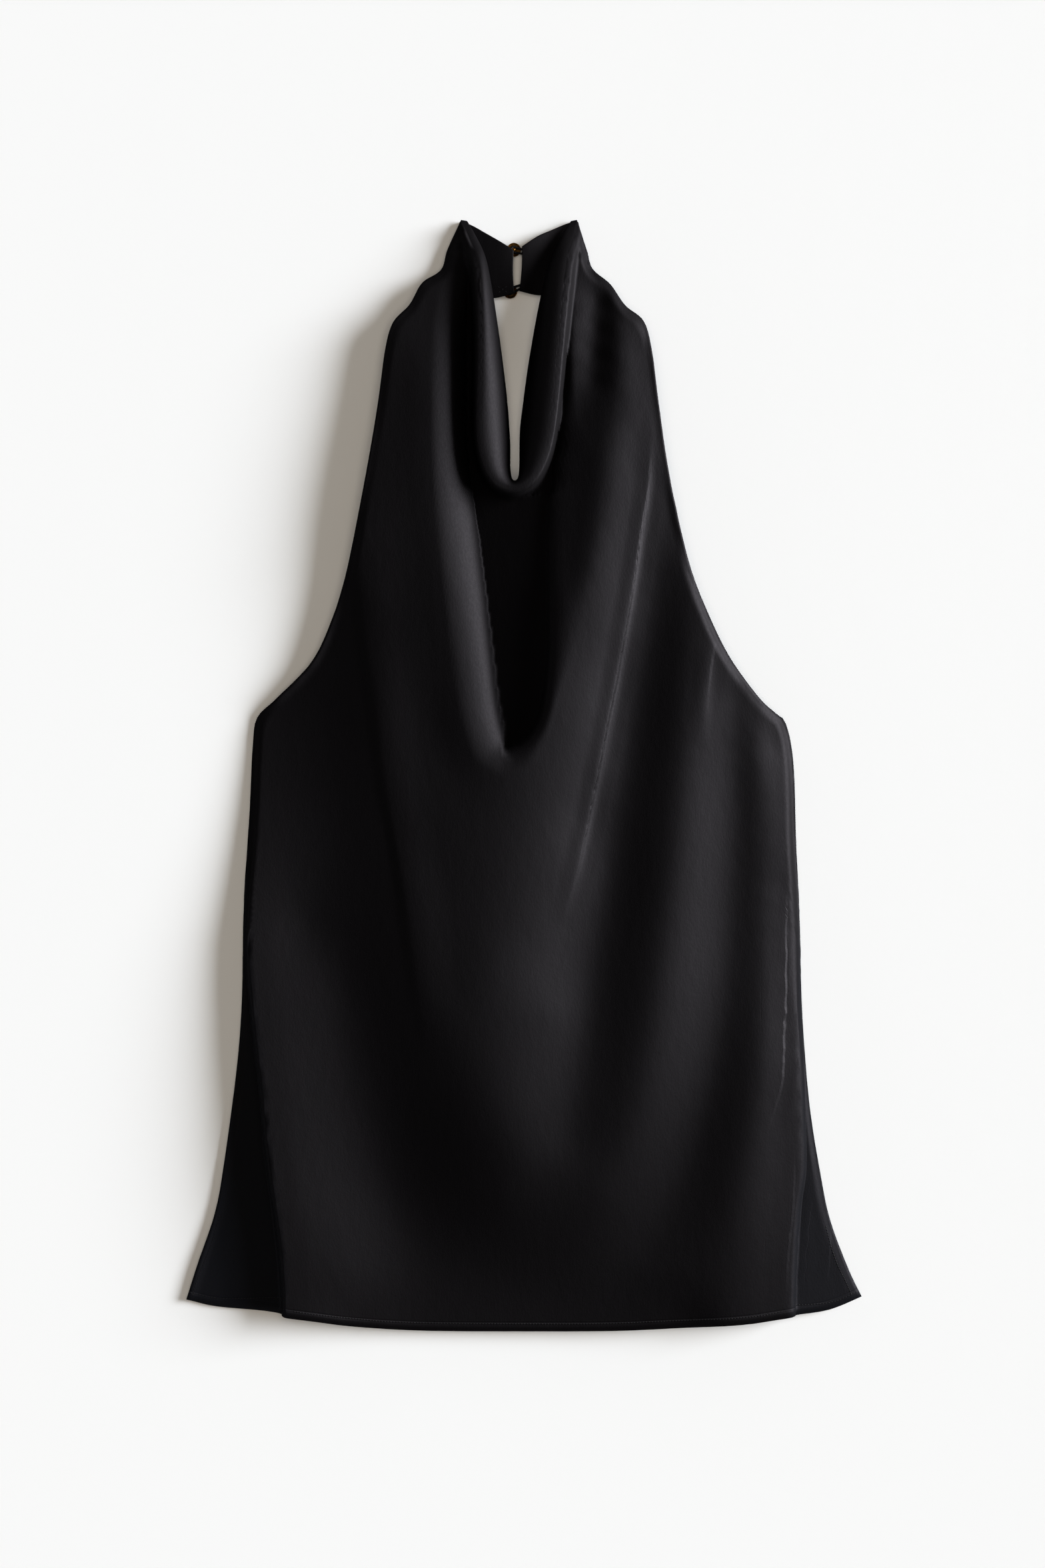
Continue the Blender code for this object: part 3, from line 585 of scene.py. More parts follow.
def hem_marks(grid):
    """How far each point is from the hem, down its own column."""
    step = np.linalg.norm(np.diff(grid, axis=0), axis=2)
    up = np.vstack([np.cumsum(step[::-1], axis=0)[::-1], np.zeros((1, grid.shape[1]))])
    return np.minimum(up, HEM_REACH).reshape(-1)


def side_marks(places):
    """1 where painted fill light goes: the two parts turned under past the side folds; 0 elsewhere.
    """
    marks = np.zeros(len(places))
    for drop in SIDE_FOLDS:
        down, _, _, share = drop_off(places, drop)
        marks = np.maximum(marks, down * ease(share / SIDE_START))
    return marks


flat_front = front_grid.reshape(-1, 3)
crease_gap, crease_depth = crease_marks(flat_front)
for name, values in (("crease_gap", crease_gap), ("crease_depth", crease_depth),
                     ("hem_gap", hem_marks(front_grid)), ("turned_side", side_marks(flat_front))):
    store(front_mesh, front_order, name, values)
print("points within 3 mm of a crease:", int((np.abs(crease_gap) < 3).sum()))

# %% [markdown]
# ## Black satin
#
# Satin floats its threads over the weave, so it has one smooth side with a soft, broad sheen. Real
# black cloth is never quite black and never quite even: fine grain breaks up the sheen, its colour
# is a little plum and its gloss a little violet. Several pieces share the weave, so it is a node
# group that puts out a colour, a roughness and a height. The shader stays in each material. A few
# small functions wire the nodes, here and in every material that follows.


# %% Small tools for node trees
def feed(tree, node, entries):
    """Gives a node's inputs their values, or links them to the outputs of other nodes."""
    for name, value in entries.items():
        if isinstance(value, bpy.types.NodeSocket):
            tree.links.new(value, node.inputs[name])
        else:
            node.inputs[name].default_value = value
    return node


def add_node(tree, kind, entries):
    return feed(tree, tree.nodes.new(kind), entries)


def sockets(tree, way, kind, *names):
    for name in names:
        tree.interface.new_socket(name=name, in_out=way, socket_type=kind)


def maths(tree, operation, first, second):
    node = add_node(tree, "ShaderNodeMath", {0: first, 1: second})
    node.operation = operation
    return node.outputs[0]


Fade = namedtuple("Fade", "start end low high")


def ramp(tree, value, start, end, low=0.0, high=1.0):
    """A soft ramp from low at start to high at end."""
    node = add_node(tree, "ShaderNodeMapRange", {
        "Value": value, "From Min": start, "From Max": end, "To Min": low, "To Max": high,
    })
    node.interpolation_type = "SMOOTHSTEP"
    return node.outputs["Result"]


def noise(tree, where, scale, detail, name):
    node = add_node(tree, "ShaderNodeTexNoise", {"Vector": where, "Scale": scale, "Detail": detail})
    node.label = name
    return node.outputs["Fac"]


def mixed(tree, share, first, second):
    node = tree.nodes.new("ShaderNodeMix")
    node.data_type = "RGBA"
    return feed(tree, node, {"Factor": share, 6: first, 7: second}).outputs[2]


def bumped(tree, height, distance, **under):
    """The normal that a height gives, laid over the Normal under it, if there is one."""
    entries = {"Height": height, "Distance": distance, **under}
    return add_node(tree, "ShaderNodeBump", entries).outputs["Normal"]


def object_place(tree):
    return tree.nodes.new("ShaderNodeTexCoord").outputs["Object"]


def new_material(name, entries):
    """A material whose shader has these values, with its tree and its shader."""
    material = bpy.data.materials.new(name)
    material.use_nodes = True
    tree = material.node_tree
    return material, tree, feed(tree, tree.nodes["Principled BSDF"], entries)


# %% The satin node group
LIGHT_TONE = (0.0019, 0.0015, 0.0017, 1)
DEEP_TONE = (0.0012, 0.0010, 0.0011, 1)
TONE_SCALE = 9.0
THREAD_STRETCH = (1.0, 0.45, 1.0)
GRAIN_SCALE = 900.0
SLUB_SCALE = 160.0
SHEEN_UNEVEN = 0.12
SLUB_HEIGHT = 1.6


def make_satin_group():
    tree = bpy.data.node_groups.new("Satin weave", "ShaderNodeTree")
    sockets(tree, "INPUT", "NodeSocketFloat", "Sheen spread", "Grain")
    sockets(tree, "OUTPUT", "NodeSocketColor", "Colour")
    sockets(tree, "OUTPUT", "NodeSocketFloat", "Roughness", "Height")
    given = tree.nodes.new("NodeGroupInput").outputs
    place = object_place(tree)
    tone = noise(tree, place, TONE_SCALE, 2.0, "Broad tone")
    threads = add_node(tree, "ShaderNodeMapping", {"Vector": place, "Scale": THREAD_STRETCH})
    grain = noise(tree, threads.outputs["Vector"], GRAIN_SCALE, 2.0, "Grain")
    slub = noise(tree, threads.outputs["Vector"], SLUB_SCALE, 1.0, "Slub")
    uneven = maths(tree, "MULTIPLY", maths(tree, "SUBTRACT", grain, 0.5), SHEEN_UNEVEN)
    add_node(tree, "NodeGroupOutput", {
        "Colour": mixed(tree, tone, DEEP_TONE, LIGHT_TONE),
        "Roughness": maths(tree, "ADD", given["Sheen spread"], uneven),
        "Height": maths(tree, "ADD", maths(tree, "MULTIPLY", grain, given["Grain"]),
                        maths(tree, "MULTIPLY", slub, SLUB_HEIGHT)),
    })
    return tree


satin_weave = make_satin_group()
print("satin group puts out:", ", ".join(item.name for item in satin_weave.interface.items_tree
                                         if item.in_out == "OUTPUT"))


# %% The satin materials
GRAIN_RELIEF = 0.00009
SATIN_GLOSS = 0.18
SATIN_TINT = (0.94, 0.89, 1.0, 1)
FRONT_SPREAD = 0.65
PLAIN_SPREAD = 0.6
BAND_GRAIN = 0.7


def satin_material(name, sheen_spread, grain=1.0):
    """A satin with the shared weave. It gives back the material, its shader, weave and normal."""
    material, tree, shader = new_material(name, {
        "Specular IOR Level": SATIN_GLOSS, "Specular Tint": SATIN_TINT,
    })
    weave = tree.nodes.new("ShaderNodeGroup")
    weave.node_tree = satin_weave
    feed(tree, weave, {"Sheen spread": sheen_spread, "Grain": grain})
    normal = bumped(tree, weave.outputs["Height"], GRAIN_RELIEF)
    feed(tree, shader, {
        "Base Color": weave.outputs["Colour"], "Roughness": weave.outputs["Roughness"],
        "Normal": normal,
    })
    return material, shader, weave, normal


def stored_value(tree, name):
    node = tree.nodes.new("ShaderNodeAttribute")
    node.attribute_name = name
    return node.outputs["Fac"]


front_satin, front_shader, front_weave, front_normal = satin_material("front_satin", FRONT_SPREAD)
band_satin = satin_material("band_satin", PLAIN_SPREAD, BAND_GRAIN)[0]
back_satin = satin_material("back_satin", PLAIN_SPREAD)[0]
print("satins:", front_satin.name, band_satin.name, back_satin.name)

# %% [markdown]
# ## The relief of creases and hems
#
# Beside a crease the cloth drops by half a millimetre or less within about 2 mm, and rises again
# over the next 11. The turned hem stands a little above the cloth, and the line of stitches pulls
# it in. Along a crease the threads are pulled tight and shine more. The parts turned under at the
# sides are painted a little lighter and bluer than the rest. This is painted fill light, standing
# in for light bounced from the floor into the shade beside the side folds.

# %% Relief and shine of the creases and the turned hem, and painted light on the sides
CREASE_DROP = 2.2
CREASE_BACK = 13.0
CREASE_SHINE = 0.26
SHINE_EDGE = 1.2
HEM_WIDTH = 5.4
HEM_STAND = 0.35
HEM_EDGE = (0.7, -0.1)
STITCH_PULL = 0.2
PULL_REACH = 1.6
# Painted fill light: a lighter, bluer base colour for the turned-under sides, which lie in shade.
SIDE_PAINTED_FILL = (0.0044, 0.0047, 0.0060, 1)


def add_front_looks(tree, weave, shader, normal):
    gap = stored_value(tree, "crease_gap")
    depth = stored_value(tree, "crease_depth")
    shine = maths(tree, "MULTIPLY", ramp(tree, gap, -SHINE_EDGE, 0.0),
                  ramp(tree, gap, CREASE_DROP + SHINE_EDGE, CREASE_DROP))
    smoother = maths(tree, "MULTIPLY", maths(tree, "MULTIPLY", shine, depth), CREASE_SHINE)

    fall = ramp(tree, gap, 0.0, CREASE_DROP)
    back = ramp(tree, gap, CREASE_DROP, CREASE_BACK)
    crease = maths(tree, "MULTIPLY", maths(tree, "SUBTRACT", back, fall), depth)
    hem = stored_value(tree, "hem_gap")
    turned = ramp(tree, hem, HEM_WIDTH + HEM_EDGE[0], HEM_WIDTH + HEM_EDGE[1], 0.0, HEM_STAND)
    pull = maths(tree, "MULTIPLY", ramp(tree, hem, HEM_WIDTH - PULL_REACH, HEM_WIDTH),
                 ramp(tree, hem, HEM_WIDTH + PULL_REACH, HEM_WIDTH, 0.0, STITCH_PULL))
    relief = maths(tree, "ADD", crease, maths(tree, "SUBTRACT", turned, pull))
    # Paints fill light onto the turned-under sides, lifting the shade beside the side folds.
    colour = mixed(tree, stored_value(tree, "turned_side"), weave.outputs["Colour"], SIDE_PAINTED_FILL)
    feed(tree, shader, {
        "Base Color": colour,
        "Roughness": maths(tree, "SUBTRACT", weave.outputs["Roughness"], smoother),
        "Normal": bumped(tree, relief, MM, Normal=normal),
    })


add_front_looks(front_satin.node_tree, front_weave, front_shader, front_normal)
print("front satin has", len(front_satin.node_tree.nodes), "nodes")

# %% [markdown]
# ## The front
#
# Satin this light is about a third of a millimetre thick, and a turned edge about twice that. The
# edges are what shows, so the wall is as thick as they are. A Solidify modifier gives it to the
# sheet, downwards, so the upper face stays where the drape put it. The cut is wider than the
# finished front, because the drape takes up cloth.

# %% Dress the front
CLOTH_WALL = 0.7


def add_object(name, data):
    made = bpy.data.objects.new(name, data)
    bpy.context.scene.collection.objects.link(made)
    return made


def put(name, mesh, material, *nodes):
    """A finished piece: it rides on the top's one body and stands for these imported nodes."""
    piece = add_object(name, mesh)
    mesh.materials.clear()
    mesh.materials.append(material)
    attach(piece, "root")
    if nodes:
        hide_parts(*nodes)
    return piece


def add_wall(piece, thickness):
    wall = piece.modifiers.new("Cloth wall", "SOLIDIFY")
    wall.thickness = thickness * MM
    wall.offset = -1


def cloth_area(grid):
    """The area of a sheet in square metres, from the cross products of its quads' diagonals."""
    first = grid[1:, 1:] - grid[:-1, :-1]
    second = grid[1:, :-1] - grid[:-1, 1:]
    return np.linalg.norm(np.cross(first, second), axis=2).sum() / 2 * MM * MM


front = put("front_cloth", front_mesh, front_satin, "front")
add_wall(front, CLOTH_WALL)
print("front cloth as it lies:", round(cloth_area(front_grid), 3), "square metres")

# %% [markdown]
# ## The back
#
# The back reaches only up to the underarms, and lies flat under the front. Its sides are cut to the
# same line as the front's, a little inside it, and its turned hem stands a little higher.

# %% Lay the back
BACK_INSET = 1.2
BACK_TOP = [(-177, 32), (-120, 22), (-50, 15), (0, 13.5), (50, 15), (120, 22), (174, 30)]
BACK_HEM = [
    (-225.4, -351), (-205, -356.6), (-120, -360), (0, -361), (120, -360), (205, -357.4),
    (225.4, -350),
]
BACK_COLUMNS = 90
BACK_ROWS = 90
BACK_FIELD = 0.8
BACK_TURNED = 1.2
BACK_SIDE_TOP = 34
HEM_STEP = 2.0


def back_sheet():
    u = np.linspace(0, 1, BACK_COLUMNS + 1)
    v = np.linspace(0, 1, BACK_ROWS + 1)
    left = along([(x + BACK_INSET, y) for x, y, _ in LEFT_SIDE if y < BACK_SIDE_TOP], v)
    right = along([(x - BACK_INSET, y) for x, y, _ in RIGHT_SIDE if y < BACK_SIDE_TOP], v)
    flat = spread(left, right, along(BACK_TOP, u), along(BACK_HEM, u), u, v)
    from_hem = np.linalg.norm(flat - flat[-1:], axis=2)
    turned = 1 - ease((from_hem - HEM_WIDTH) / HEM_STEP)
    tall = BACK_FIELD + (BACK_TURNED - BACK_FIELD) * turned
    return np.dstack([flat, tall])


back_grid = back_sheet()
back_mesh, _ = sheet_mesh("back_satin", back_grid)
back = put("back_cloth", back_mesh, back_satin, "back")
add_wall(back, BACK_FIELD)

# %% [markdown]
# ## The neckbands
#
# Each neckband is a strip folded double, so its long edges are soft folds and its wall is several
# layers. It starts flat at the shoulder and climbs towards the centre back, where the left one
# lies over the buttons. The thread marks near the left one's end come with the stitches below.

# %% Fold the neckbands
BAND_WALL = 2.4
BAND_END_STAND = 5.3
BAND_CROWN = 0.8
BAND_END_HOLLOW = 0.8
BAND_HOLLOW_START = 6
BAND_LEFT = [
    ((-43.4, 373.2), (-54.4, 341.4)), ((-36, 371), (-44, 330.5)), ((-24.5, 364.4), (-32, 324)),
    ((-13.6, 357.9), (-20.7, 321.3)), ((-7.0, 353.4), (-6.6, 324.4)),
]
BAND_RIGHT = [
    ((36.4, 373.2), (44.6, 342.6)), ((30, 372.2), (36.5, 333.5)), ((19.6, 367.8), (25.5, 327)),
    ((9.4, 363.2), (11.1, 323.2)), ((-1.6, 356.0), (-3.3, 325.8)),
]
BAND_ACROSS = 30
BAND_ALONG = 70
BAND_EDGE = 0.9
BAND_EDGE_STEPS = 4
BAND_EDGE_ANGLE = 50


def band_grid(stations):
    run = np.linspace(0, 1, BAND_ALONG)
    upper = along([station[0] for station in stations], run)
    lower = along([station[1] for station in stations], run)
    towards_middle = np.sign(upper[-1, 0] - upper[0, 0])
    grid = []
    for share in np.linspace(0, 1, BAND_ACROSS):
        flat = upper + (lower - upper) * share
        bulge = np.sin(np.pi * share)
        flat[:, 0] -= towards_middle * BAND_END_HOLLOW * bulge * run**BAND_HOLLOW_START
        tall = BAND_WALL + BAND_END_STAND * ease(run) + BAND_CROWN * bulge * run
        grid.append(np.column_stack([flat, tall]))
    grid = np.array(grid)
    return grid[:, ::-1] if towards_middle < 0 else grid


def make_band(name, node, stations):
    grid = band_grid(stations)
    mesh, _ = sheet_mesh(name, grid)
    band = put(name, mesh, band_satin, node)
    add_wall(band, BAND_WALL)
    soft = band.modifiers.new("Folded edge", "BEVEL")
    soft.width = BAND_EDGE * MM
    soft.segments = BAND_EDGE_STEPS
    soft.limit_method = "ANGLE"
    soft.angle_limit = math.radians(BAND_EDGE_ANGLE)
    return grid


for node, stations in (("neckband_left", BAND_LEFT), ("neckband_right", BAND_RIGHT)):
    grid = make_band(node + "_cloth", node, stations)
    print(node, "is", round(cloth_area(grid) / MM**2), "square mm")

# %% [markdown]
# ## The buttons
#
# A gilt shank button is turned or stamped: a shallow dome, a rolled rim, a flat back and a small
# loop to sew it on by. Here it lies dome down, so the rim and the back are what shows beside the
# neckband. Spinning one profile gives the whole button, as a lathe would. Each row of the profile
# is a radius and a height.

# %% Turn the buttons
BUTTON_SIDES = 64
BUTTON_PROFILE = [
    (0.0, 0.3), (0.9, 0.35), (1.8, 0.5), (2.7, 0.85), (3.5, 1.4), (4.1, 2.0), (4.5, 2.45),
    (4.7, 2.8), (4.68, 3.05), (4.5, 3.2), (4.2, 3.18), (4.05, 3.0), (3.9, 2.9), (2.6, 2.95),
    (1.5, 3.05), (1.05, 3.2), (1.0, 3.6), (1.0, 4.8), (0.85, 5.0), (0.0, 5.0),
]
Closure = namedtuple("Closure", "button loop centre legs")
CLOSURES = [
    Closure("button_upper", "loop_upper", (-6.9, 354.1), ((-2.0, 354.4), (-2.0, 351.5))),
    Closure("button_lower", "loop_lower", (-9.4, 325.9), ((-3.0, 330.0), (-3.2, 327.4))),
]


GILT_STOPS = [(0.3, (0.45, 0.17, 0.03, 1)), (0.7, (0.90, 0.44, 0.10, 1))]
GILT_ROUGHNESS = Fade(0.3, 0.7, 0.36, 0.2)
TARNISH_SCALE = 700.0
WELD = 1e-6


def make_gilt():
    material, tree, shader = new_material("gilt", {"Metallic": 1.0})
    tarnish = noise(tree, object_place(tree), TARNISH_SCALE, 3.0, "Tarnish")
    tone = add_node(tree, "ShaderNodeValToRGB", {"Fac": tarnish})
    for stop, (position, colour) in zip(tone.color_ramp.elements, GILT_STOPS):
        stop.position = position
        stop.color = colour
    feed(tree, shader, {
        "Base Color": tone.outputs["Color"], "Roughness": ramp(tree, tarnish, *GILT_ROUGHNESS),
    })
    return material


def turned_mesh(name, profile, centre):
    made = bmesh.new()
    rim = [made.verts.new((radius * MM, 0, height * MM)) for radius, height in profile]
    edges = [made.edges.new(pair) for pair in zip(rim, rim[1:])]
    bmesh.ops.spin(made, geom=rim + edges, cent=(0, 0, 0), axis=(0, 0, 1), angle=2 * math.pi,
                   steps=BUTTON_SIDES, use_merge=True)
    bmesh.ops.remove_doubles(made, verts=made.verts, dist=WELD)
    bmesh.ops.recalc_face_normals(made, faces=made.faces)
    bmesh.ops.translate(made, verts=made.verts, vec=(centre[0] * MM, centre[1] * MM, 0))
    return finished(made, name)


gilt = make_gilt()
for closure in CLOSURES:
    mesh = turned_mesh(closure.button, BUTTON_PROFILE, closure.centre)
    button = put(closure.button + "_gilt", mesh, gilt, closure.button)
    print(closure.button, "has", len(mesh.polygons), "faces")

# %% [markdown]
# ## The cord loops
#
# Each loop is a thin cord covered with the same satin, sewn into the end of the right neckband. It
# runs out, round the shank and back. It is a curve with a round bevel, and a slanting wave texture
# gives it the rib of a bias cover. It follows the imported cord's route, a little thicker.

# %% Run the loops round the shanks
SHANK_RADIUS = 1.0
LOOP_CLEAR = 0.3
LOOP_RADIUS = 0.65
LOOP_SHOW = 0.8
LOOP_HEIGHT = 4.25
LOOP_TUCK = 3.0
LOOP_TURN_STEPS = 14
LOOP_SMOOTH_STEPS = 3
LOOP_ROUNDNESS = 4
RIB_SCALE = 420.0
RIB_RELIEF = 0.0001
CORD_ROUGHNESS = Fade(0.0, 1.0, 0.62, 0.48)


def loop_route(centre, legs):
    """From under the right neckband, round the button's shank, and back."""
    reach = SHANK_RADIUS + LOOP_CLEAR + LOOP_RADIUS
    turn = np.linspace(np.pi / 2, 3 * np.pi / 2, LOOP_TURN_STEPS)
    bend = [(centre[0] + reach * np.cos(a), centre[1] + reach * np.sin(a)) for a in turn]
    tucked = [(leg[0] + LOOP_TUCK, leg[1]) for leg in legs]
    return [tucked[0], legs[0]] + bend + [legs[1], tucked[1]]


def make_cord():
    material, tree, shader = new_material("loop_cord", {
        "Base Color": (0.004, 0.004, 0.005, 1), "Specular IOR Level": 0.3,
    })
    wave = add_node(tree, "ShaderNodeTexWave", {"Vector": object_place(tree), "Scale": RIB_SCALE})
    wave.bands_direction = "DIAGONAL"
    rib = wave.outputs["Fac"]
    feed(tree, shader, {
        "Roughness": ramp(tree, rib, *CORD_ROUGHNESS), "Normal": bumped(tree, rib, RIB_RELIEF),
    })
    return material


def curve_along(name, route):
    """A curve object through the route's rows of x, y and height."""
    curve = bpy.data.curves.new(name, "CURVE")
    curve.dimensions = "3D"
    spline = curve.splines.new("POLY")
    spline.points.add(len(route) - 1)
    for point, (x, y, z) in zip(spline.points, route):
        point.co = (x * MM, y * MM, z * MM, 1)
    return add_object(name, curve)


def plain_mesh(drawn):
    """What an object finally shows, as a smooth mesh; the object is then let go."""
    ready = drawn.evaluated_get(bpy.context.evaluated_depsgraph_get())
    mesh = bpy.data.meshes.new_from_object(ready)
    bpy.data.objects.remove(drawn)
    mesh.shade_smooth()
    return mesh


def tube(name, route, radius):
    drawn = curve_along(name, route)
    drawn.data.bevel_depth = radius * MM
    drawn.data.bevel_resolution = LOOP_ROUNDNESS
    drawn.data.use_fill_caps = True
    return plain_mesh(drawn)


loop_cord = make_cord()
for closure in CLOSURES:
    route = loop_route(closure.centre, closure.legs)
    smooth, _ = dense_line([(x, y, LOOP_HEIGHT) for x, y in route], LOOP_SMOOTH_STEPS)
    mesh = tube(closure.loop, smooth, LOOP_SHOW)
    loop = put(closure.loop + "_cord", mesh, loop_cord, closure.loop)
    print(closure.loop, "has", len(mesh.polygons), "faces")

# %% [markdown]
# ## Topstitching
#
# A machine sews the turned hem from the right side, one short stitch after another at an even
# pitch. That is a rule along a path, so Geometry Nodes makes it: the path is cut into steps, and
# each step gets one small rounded stitch, turned along the path. The path itself is found by
# dropping points onto the finished cloth from above.

# %% Find the stitch lines on the cloth
STITCH_STAND = 0.12
DROP_FROM = 0.1
ROUTE_STEPS = 90
HEM_STEPS = 240


def surface_of(piece):
    ready = piece.evaluated_get(bpy.context.evaluated_depsgraph_get())
    made = bmesh.new()
    made.from_mesh(ready.to_mesh())
    surface = BVHTree.FromBMesh(made)
    made.free()
    return surface


cloth_surface = surface_of(front)
band_surface = surface_of(bpy.data.objects["neckband_left_cloth"])


def dropped(surface, places):
    """The places, in mm, laid on a surface from above; those that miss it are left out."""
    route = []
    for x, y in places:
        hit = surface.ray_cast(Vector((x * MM, y * MM, DROP_FROM)), Vector((0, 0, -1)))[0]
        if hit is not None:
            route.append((x, y, hit.z / MM + STITCH_STAND))
    return route


STITCH_LINES = {
    "hem": [
        (-154.2, -360.4), (-140, -362.8), (-112, -366.2), (-88, -368.5), (-50, -369.6), (0, -369.9),
        (50, -369.7), (102, -367.4), (136, -365.7), (160, -363.6), (173, -361),
    ],
    "side_hem_right": [
        (182.5, -357.5), (190, -357.3), (201.6, -356.6), (212, -354.4), (224, -348.8),
    ],
    "side_hem_left": [
        (-163.5, -352.5), (-173, -352.8), (-192, -353.4), (-208, -353), (-224.6, -349.4),
    ],
    "slit_right": [
        (203.6, -305), (207, -318), (211.6, -331), (217, -342), (220.5, -350),
    ],
    "loop_tack_down": [(-17.2, 328.6), (-12.2, 325.4)],
    "loop_tack_up": [(-16.8, 325.2), (-12.4, 328.6)],
    "slit_left": [
        (-205.4, -298), (-211.5, -318), (-217.5, -333), (-221.8, -345), (-223.4, -351),
    ],
}
ON_BAND = ("loop_tack_down", "loop_tack_up")
routes = {}
for name, points in STITCH_LINES.items():
    stops = np.linspace(0, 1, HEM_STEPS if name == "hem" else ROUTE_STEPS)
    routes[name] = dropped(band_surface if name in ON_BAND else cloth_surface, along(points, stops))
print("points on each route:", {name: len(route) for name, route in routes.items()})


# %% The stitch tree
TWIST_SCALE = 2600.0
THREAD_ROUGHNESS = Fade(0.3, 0.7, 0.5, 0.68)
STITCH_SEGMENTS = 8
STITCH_RINGS = 5


def make_thread():
    material, tree, shader = new_material("thread", {
        "Base Color": (0.006, 0.0055, 0.0065, 1), "Specular IOR Level": 0.35,
    })
    twist = noise(tree, object_place(tree), TWIST_SCALE, 1.0, "Twist")
    feed(tree, shader, {"Roughness": ramp(tree, twist, *THREAD_ROUGHNESS)})
    return material


def make_stitch_tree():
    """The tree, and the identifier of each of its inputs."""
    tree = bpy.data.node_groups.new("Topstitch", "GeometryNodeTree")
    sockets(tree, "INPUT", "NodeSocketGeometry", "Path")
    sockets(tree, "INPUT", "NodeSocketFloat", "Pitch", "Stitch length", "Thread width")
    sockets(tree, "INPUT", "NodeSocketMaterial", "Thread")
    sockets(tree, "OUTPUT", "NodeSocketGeometry", "Stitches")
    given = tree.nodes.new("NodeGroupInput").outputs
    steps = tree.nodes.new("GeometryNodeResampleCurve")
    steps.mode = "LENGTH"
    feed(tree, steps, {"Curve": given["Path"], "Length": given["Pitch"]})
    grain = add_node(tree, "GeometryNodeMeshUVSphere", {
        "Segments": STITCH_SEGMENTS, "Rings": STITCH_RINGS, "Radius": 0.5,
    })
    size = add_node(tree, "ShaderNodeCombineXYZ", {
        "X": given["Thread width"], "Y": given["Thread width"], "Z": given["Stitch length"],
    })
    turn = tree.nodes.new("FunctionNodeAlignRotationToVector")
    turn.axis = "Z"
    tangent = tree.nodes.new("GeometryNodeInputTangent").outputs["Tangent"]
    feed(tree, turn, {"Vector": tangent})
    laid = add_node(tree, "GeometryNodeInstanceOnPoints", {
        "Points": steps.outputs["Curve"], "Instance": grain.outputs["Mesh"],
        "Rotation": turn.outputs["Rotation"], "Scale": size.outputs["Vector"],
    })
    real = add_node(tree, "GeometryNodeRealizeInstances", {"Geometry": laid.outputs["Instances"]})
    dye = add_node(tree, "GeometryNodeSetMaterial", {
        "Geometry": real.outputs["Geometry"], "Material": given["Thread"],
    })
    add_node(tree, "NodeGroupOutput", {"Stitches": dye.outputs["Geometry"]})
    return tree, {item.name: item.identifier for item in tree.interface.items_tree
                  if item.in_out == "INPUT"}


thread = make_thread()
stitch_tree, stitch_inputs = make_stitch_tree()
print("stitch inputs:", stitch_inputs)

# %% Sew the hems and the slits
STITCH_PITCH = 2.0
STITCH_LENGTH = 1.55
THREAD_WIDTH = 0.42


def sew(name, route):
    """One row of stitches along a route, as a plain mesh."""
    row = curve_along(name, route)
    sewing = row.modifiers.new("Topstitch", "NODES")
    sewing.node_group = stitch_tree
    for entry, value in (("Pitch", STITCH_PITCH * MM), ("Stitch length", STITCH_LENGTH * MM),
                         ("Thread width", THREAD_WIDTH * MM), ("Thread", thread)):
        sewing[stitch_inputs[entry]] = value
    return plain_mesh(row)


for name, route in routes.items():
    mesh = sew(name, route)
    stitches = put("stitches_" + name, mesh, thread)
    print(name, "has", len(mesh.polygons) // (STITCH_SEGMENTS * STITCH_RINGS), "stitches")

# %% [markdown]
# ## Floor, light and camera
#
# The top lies on a plain pale floor. One broad, soft light comes from the right, low enough to rake
# over the folds, and a weak even light from above keeps the floor white. Satin shows its lights in
# its gloss, so a panel that only the gloss sees stands at the right, and a wide glow at the horizon
# gives the cloth its last bit of tone. The camera looks straight down.


# %% Floor
FLOOR_REACH = 40
FLOOR_GAP = 0.3


def make_floor():
    made = bmesh.new()
    bmesh.ops.create_grid(made, x_segments=2, y_segments=2, size=FLOOR_REACH)
    bmesh.ops.translate(made, verts=made.verts, vec=(0, 0, -FLOOR_GAP * MM))
    mesh = finished(made, "floor", smooth=False)
    mesh.materials.append(new_material("floor", {
        "Base Color": (0.9, 0.9, 0.9, 1), "Roughness": 0.9, "Specular IOR Level": 0.1,
    })[0])
    floor = add_object("floor", mesh)
    floor.visible_glossy = False
    return floor


floor = make_floor()
print("floor at", round(floor.data.vertices[0].co.z / MM, 1), "mm")


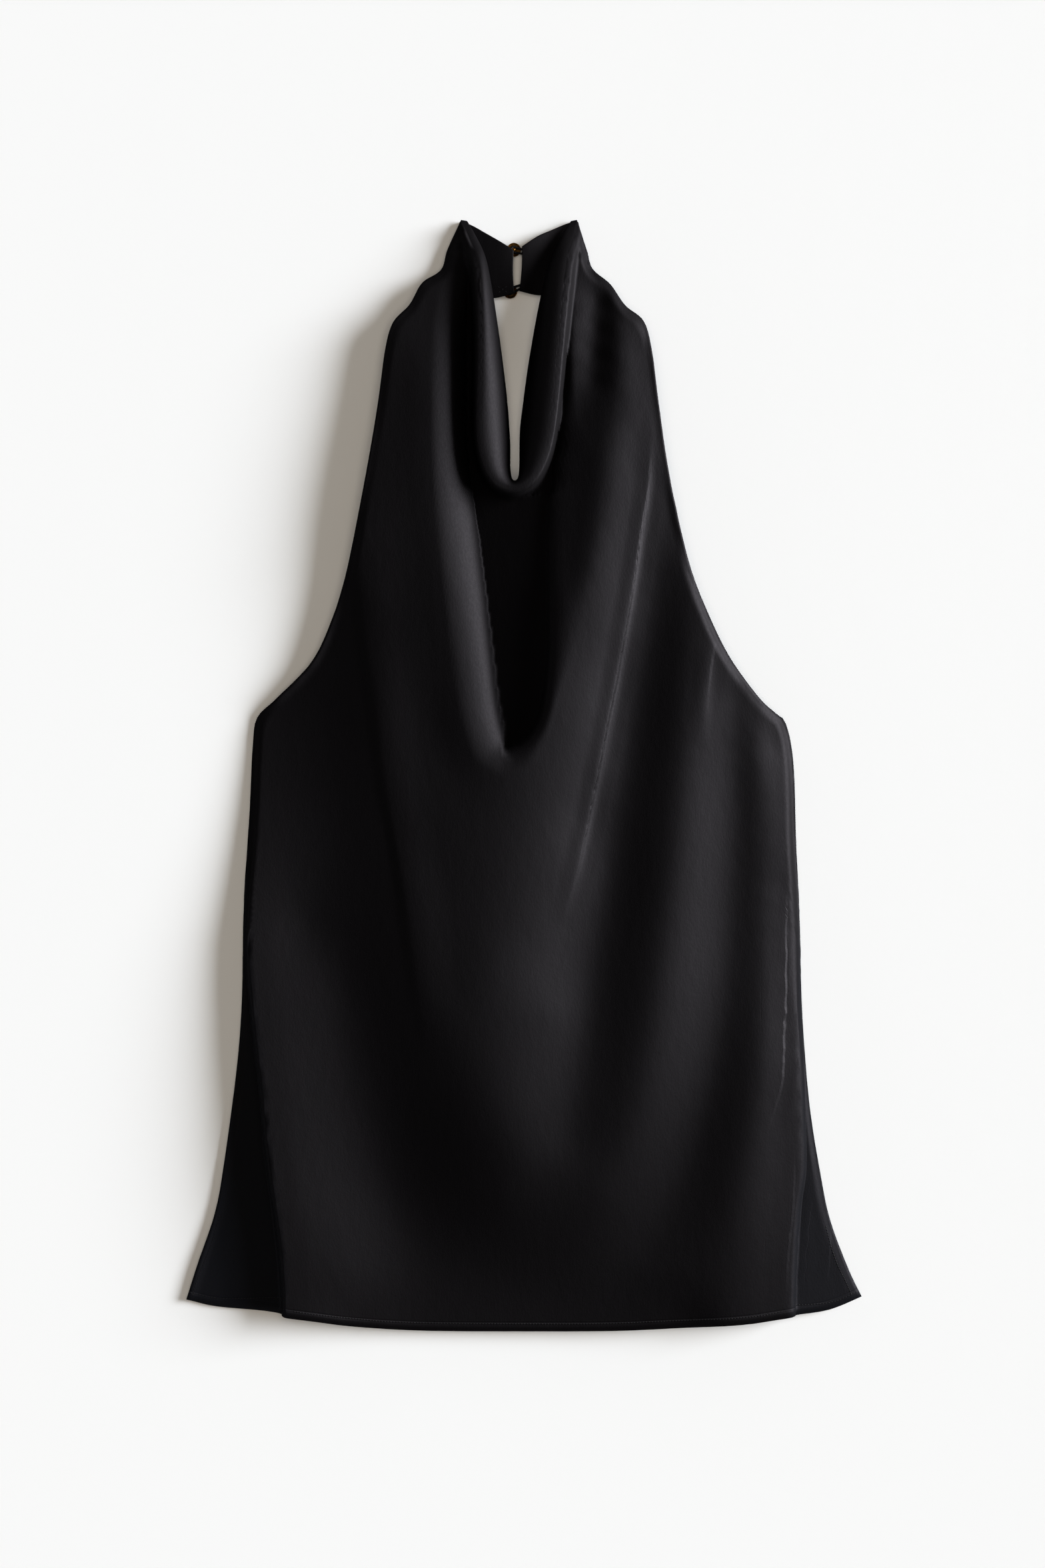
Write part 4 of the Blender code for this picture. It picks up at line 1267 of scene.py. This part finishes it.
# %% Light
Lamp = namedtuple("Lamp", "name kind azimuth elevation distance power tint shape hidden_from")
LAMPS = [
    Lamp("raking_light", "SUN", 11, 26, 2.0, 5.18, (0.955, 1.0, 1.05),
         {"angle": math.radians(34)}, "glossy"),
    Lamp("overhead_light", "SUN", 0, 90, 2.0, 0.80, (1.12, 1.0, 0.84),
         {"angle": math.radians(36)}, "glossy"),
    Lamp("sheen_light", "AREA", 18, 20, 1.05, 32.0, (1, 1, 1),
         {"shape": "RECTANGLE", "size": 0.75, "size_y": 0.5}, "diffuse"),
]
GLOW = Fade(0.1, 0.8, 0.11, 0.03)
HORIZON = Fade(0.12, 0.38, 0.5, 0.0)


def hang(lamp):
    """Hangs a lamp in its direction, facing the top, and hides it from one kind of ray."""
    light = bpy.data.lights.new(lamp.name, lamp.kind)
    light.energy = lamp.power
    light.color = lamp.tint
    for entry, value in lamp.shape.items():
        setattr(light, entry, value)
    turn, rise = math.radians(lamp.azimuth), math.radians(lamp.elevation)
    flat = math.cos(rise)
    towards = Vector((flat * math.cos(turn), flat * math.sin(turn), math.sin(rise)))
    hung = add_object(lamp.name, light)
    hung.location = towards * lamp.distance
    hung.rotation_euler = (-towards).to_track_quat("-Z", "Y").to_euler()
    setattr(hung, "visible_" + lamp.hidden_from, False)


for lamp in LAMPS:
    hang(lamp)

world = bpy.data.worlds.new("studio")
bpy.context.scene.world = world
world.use_nodes = True
sky = world.node_tree
axes = add_node(sky, "ShaderNodeSeparateXYZ", {
    0: sky.nodes.new("ShaderNodeTexCoord").outputs["Generated"],
})
up = axes.outputs["Z"]
glow = maths(sky, "ADD", ramp(sky, up, *GLOW), ramp(sky, up, *HORIZON))
feed(sky, sky.nodes["Background"], {
    "Strength": maths(sky, "MULTIPLY", glow, maths(sky, "GREATER_THAN", up, 0.0)),
    "Color": (1, 1, 1, 1),
})
bpy.context.scene.view_settings.view_transform = "Standard"
print("lights:", ", ".join(lamp.name for lamp in LAMPS))

# %% Camera
CAMERA_PLACE = (-0.0011, -0.0063, 3.97)
LENS = 135
SENSOR = 36

camera_data = bpy.data.cameras.new("camera")
camera_data.lens = LENS
camera_data.sensor_width = SENSOR
camera = add_object("camera", camera_data)
camera.location = CAMERA_PLACE
bpy.context.scene.camera = camera
print("camera", CAMERA_PLACE[2], "m above the floor, lens", LENS, "mm")
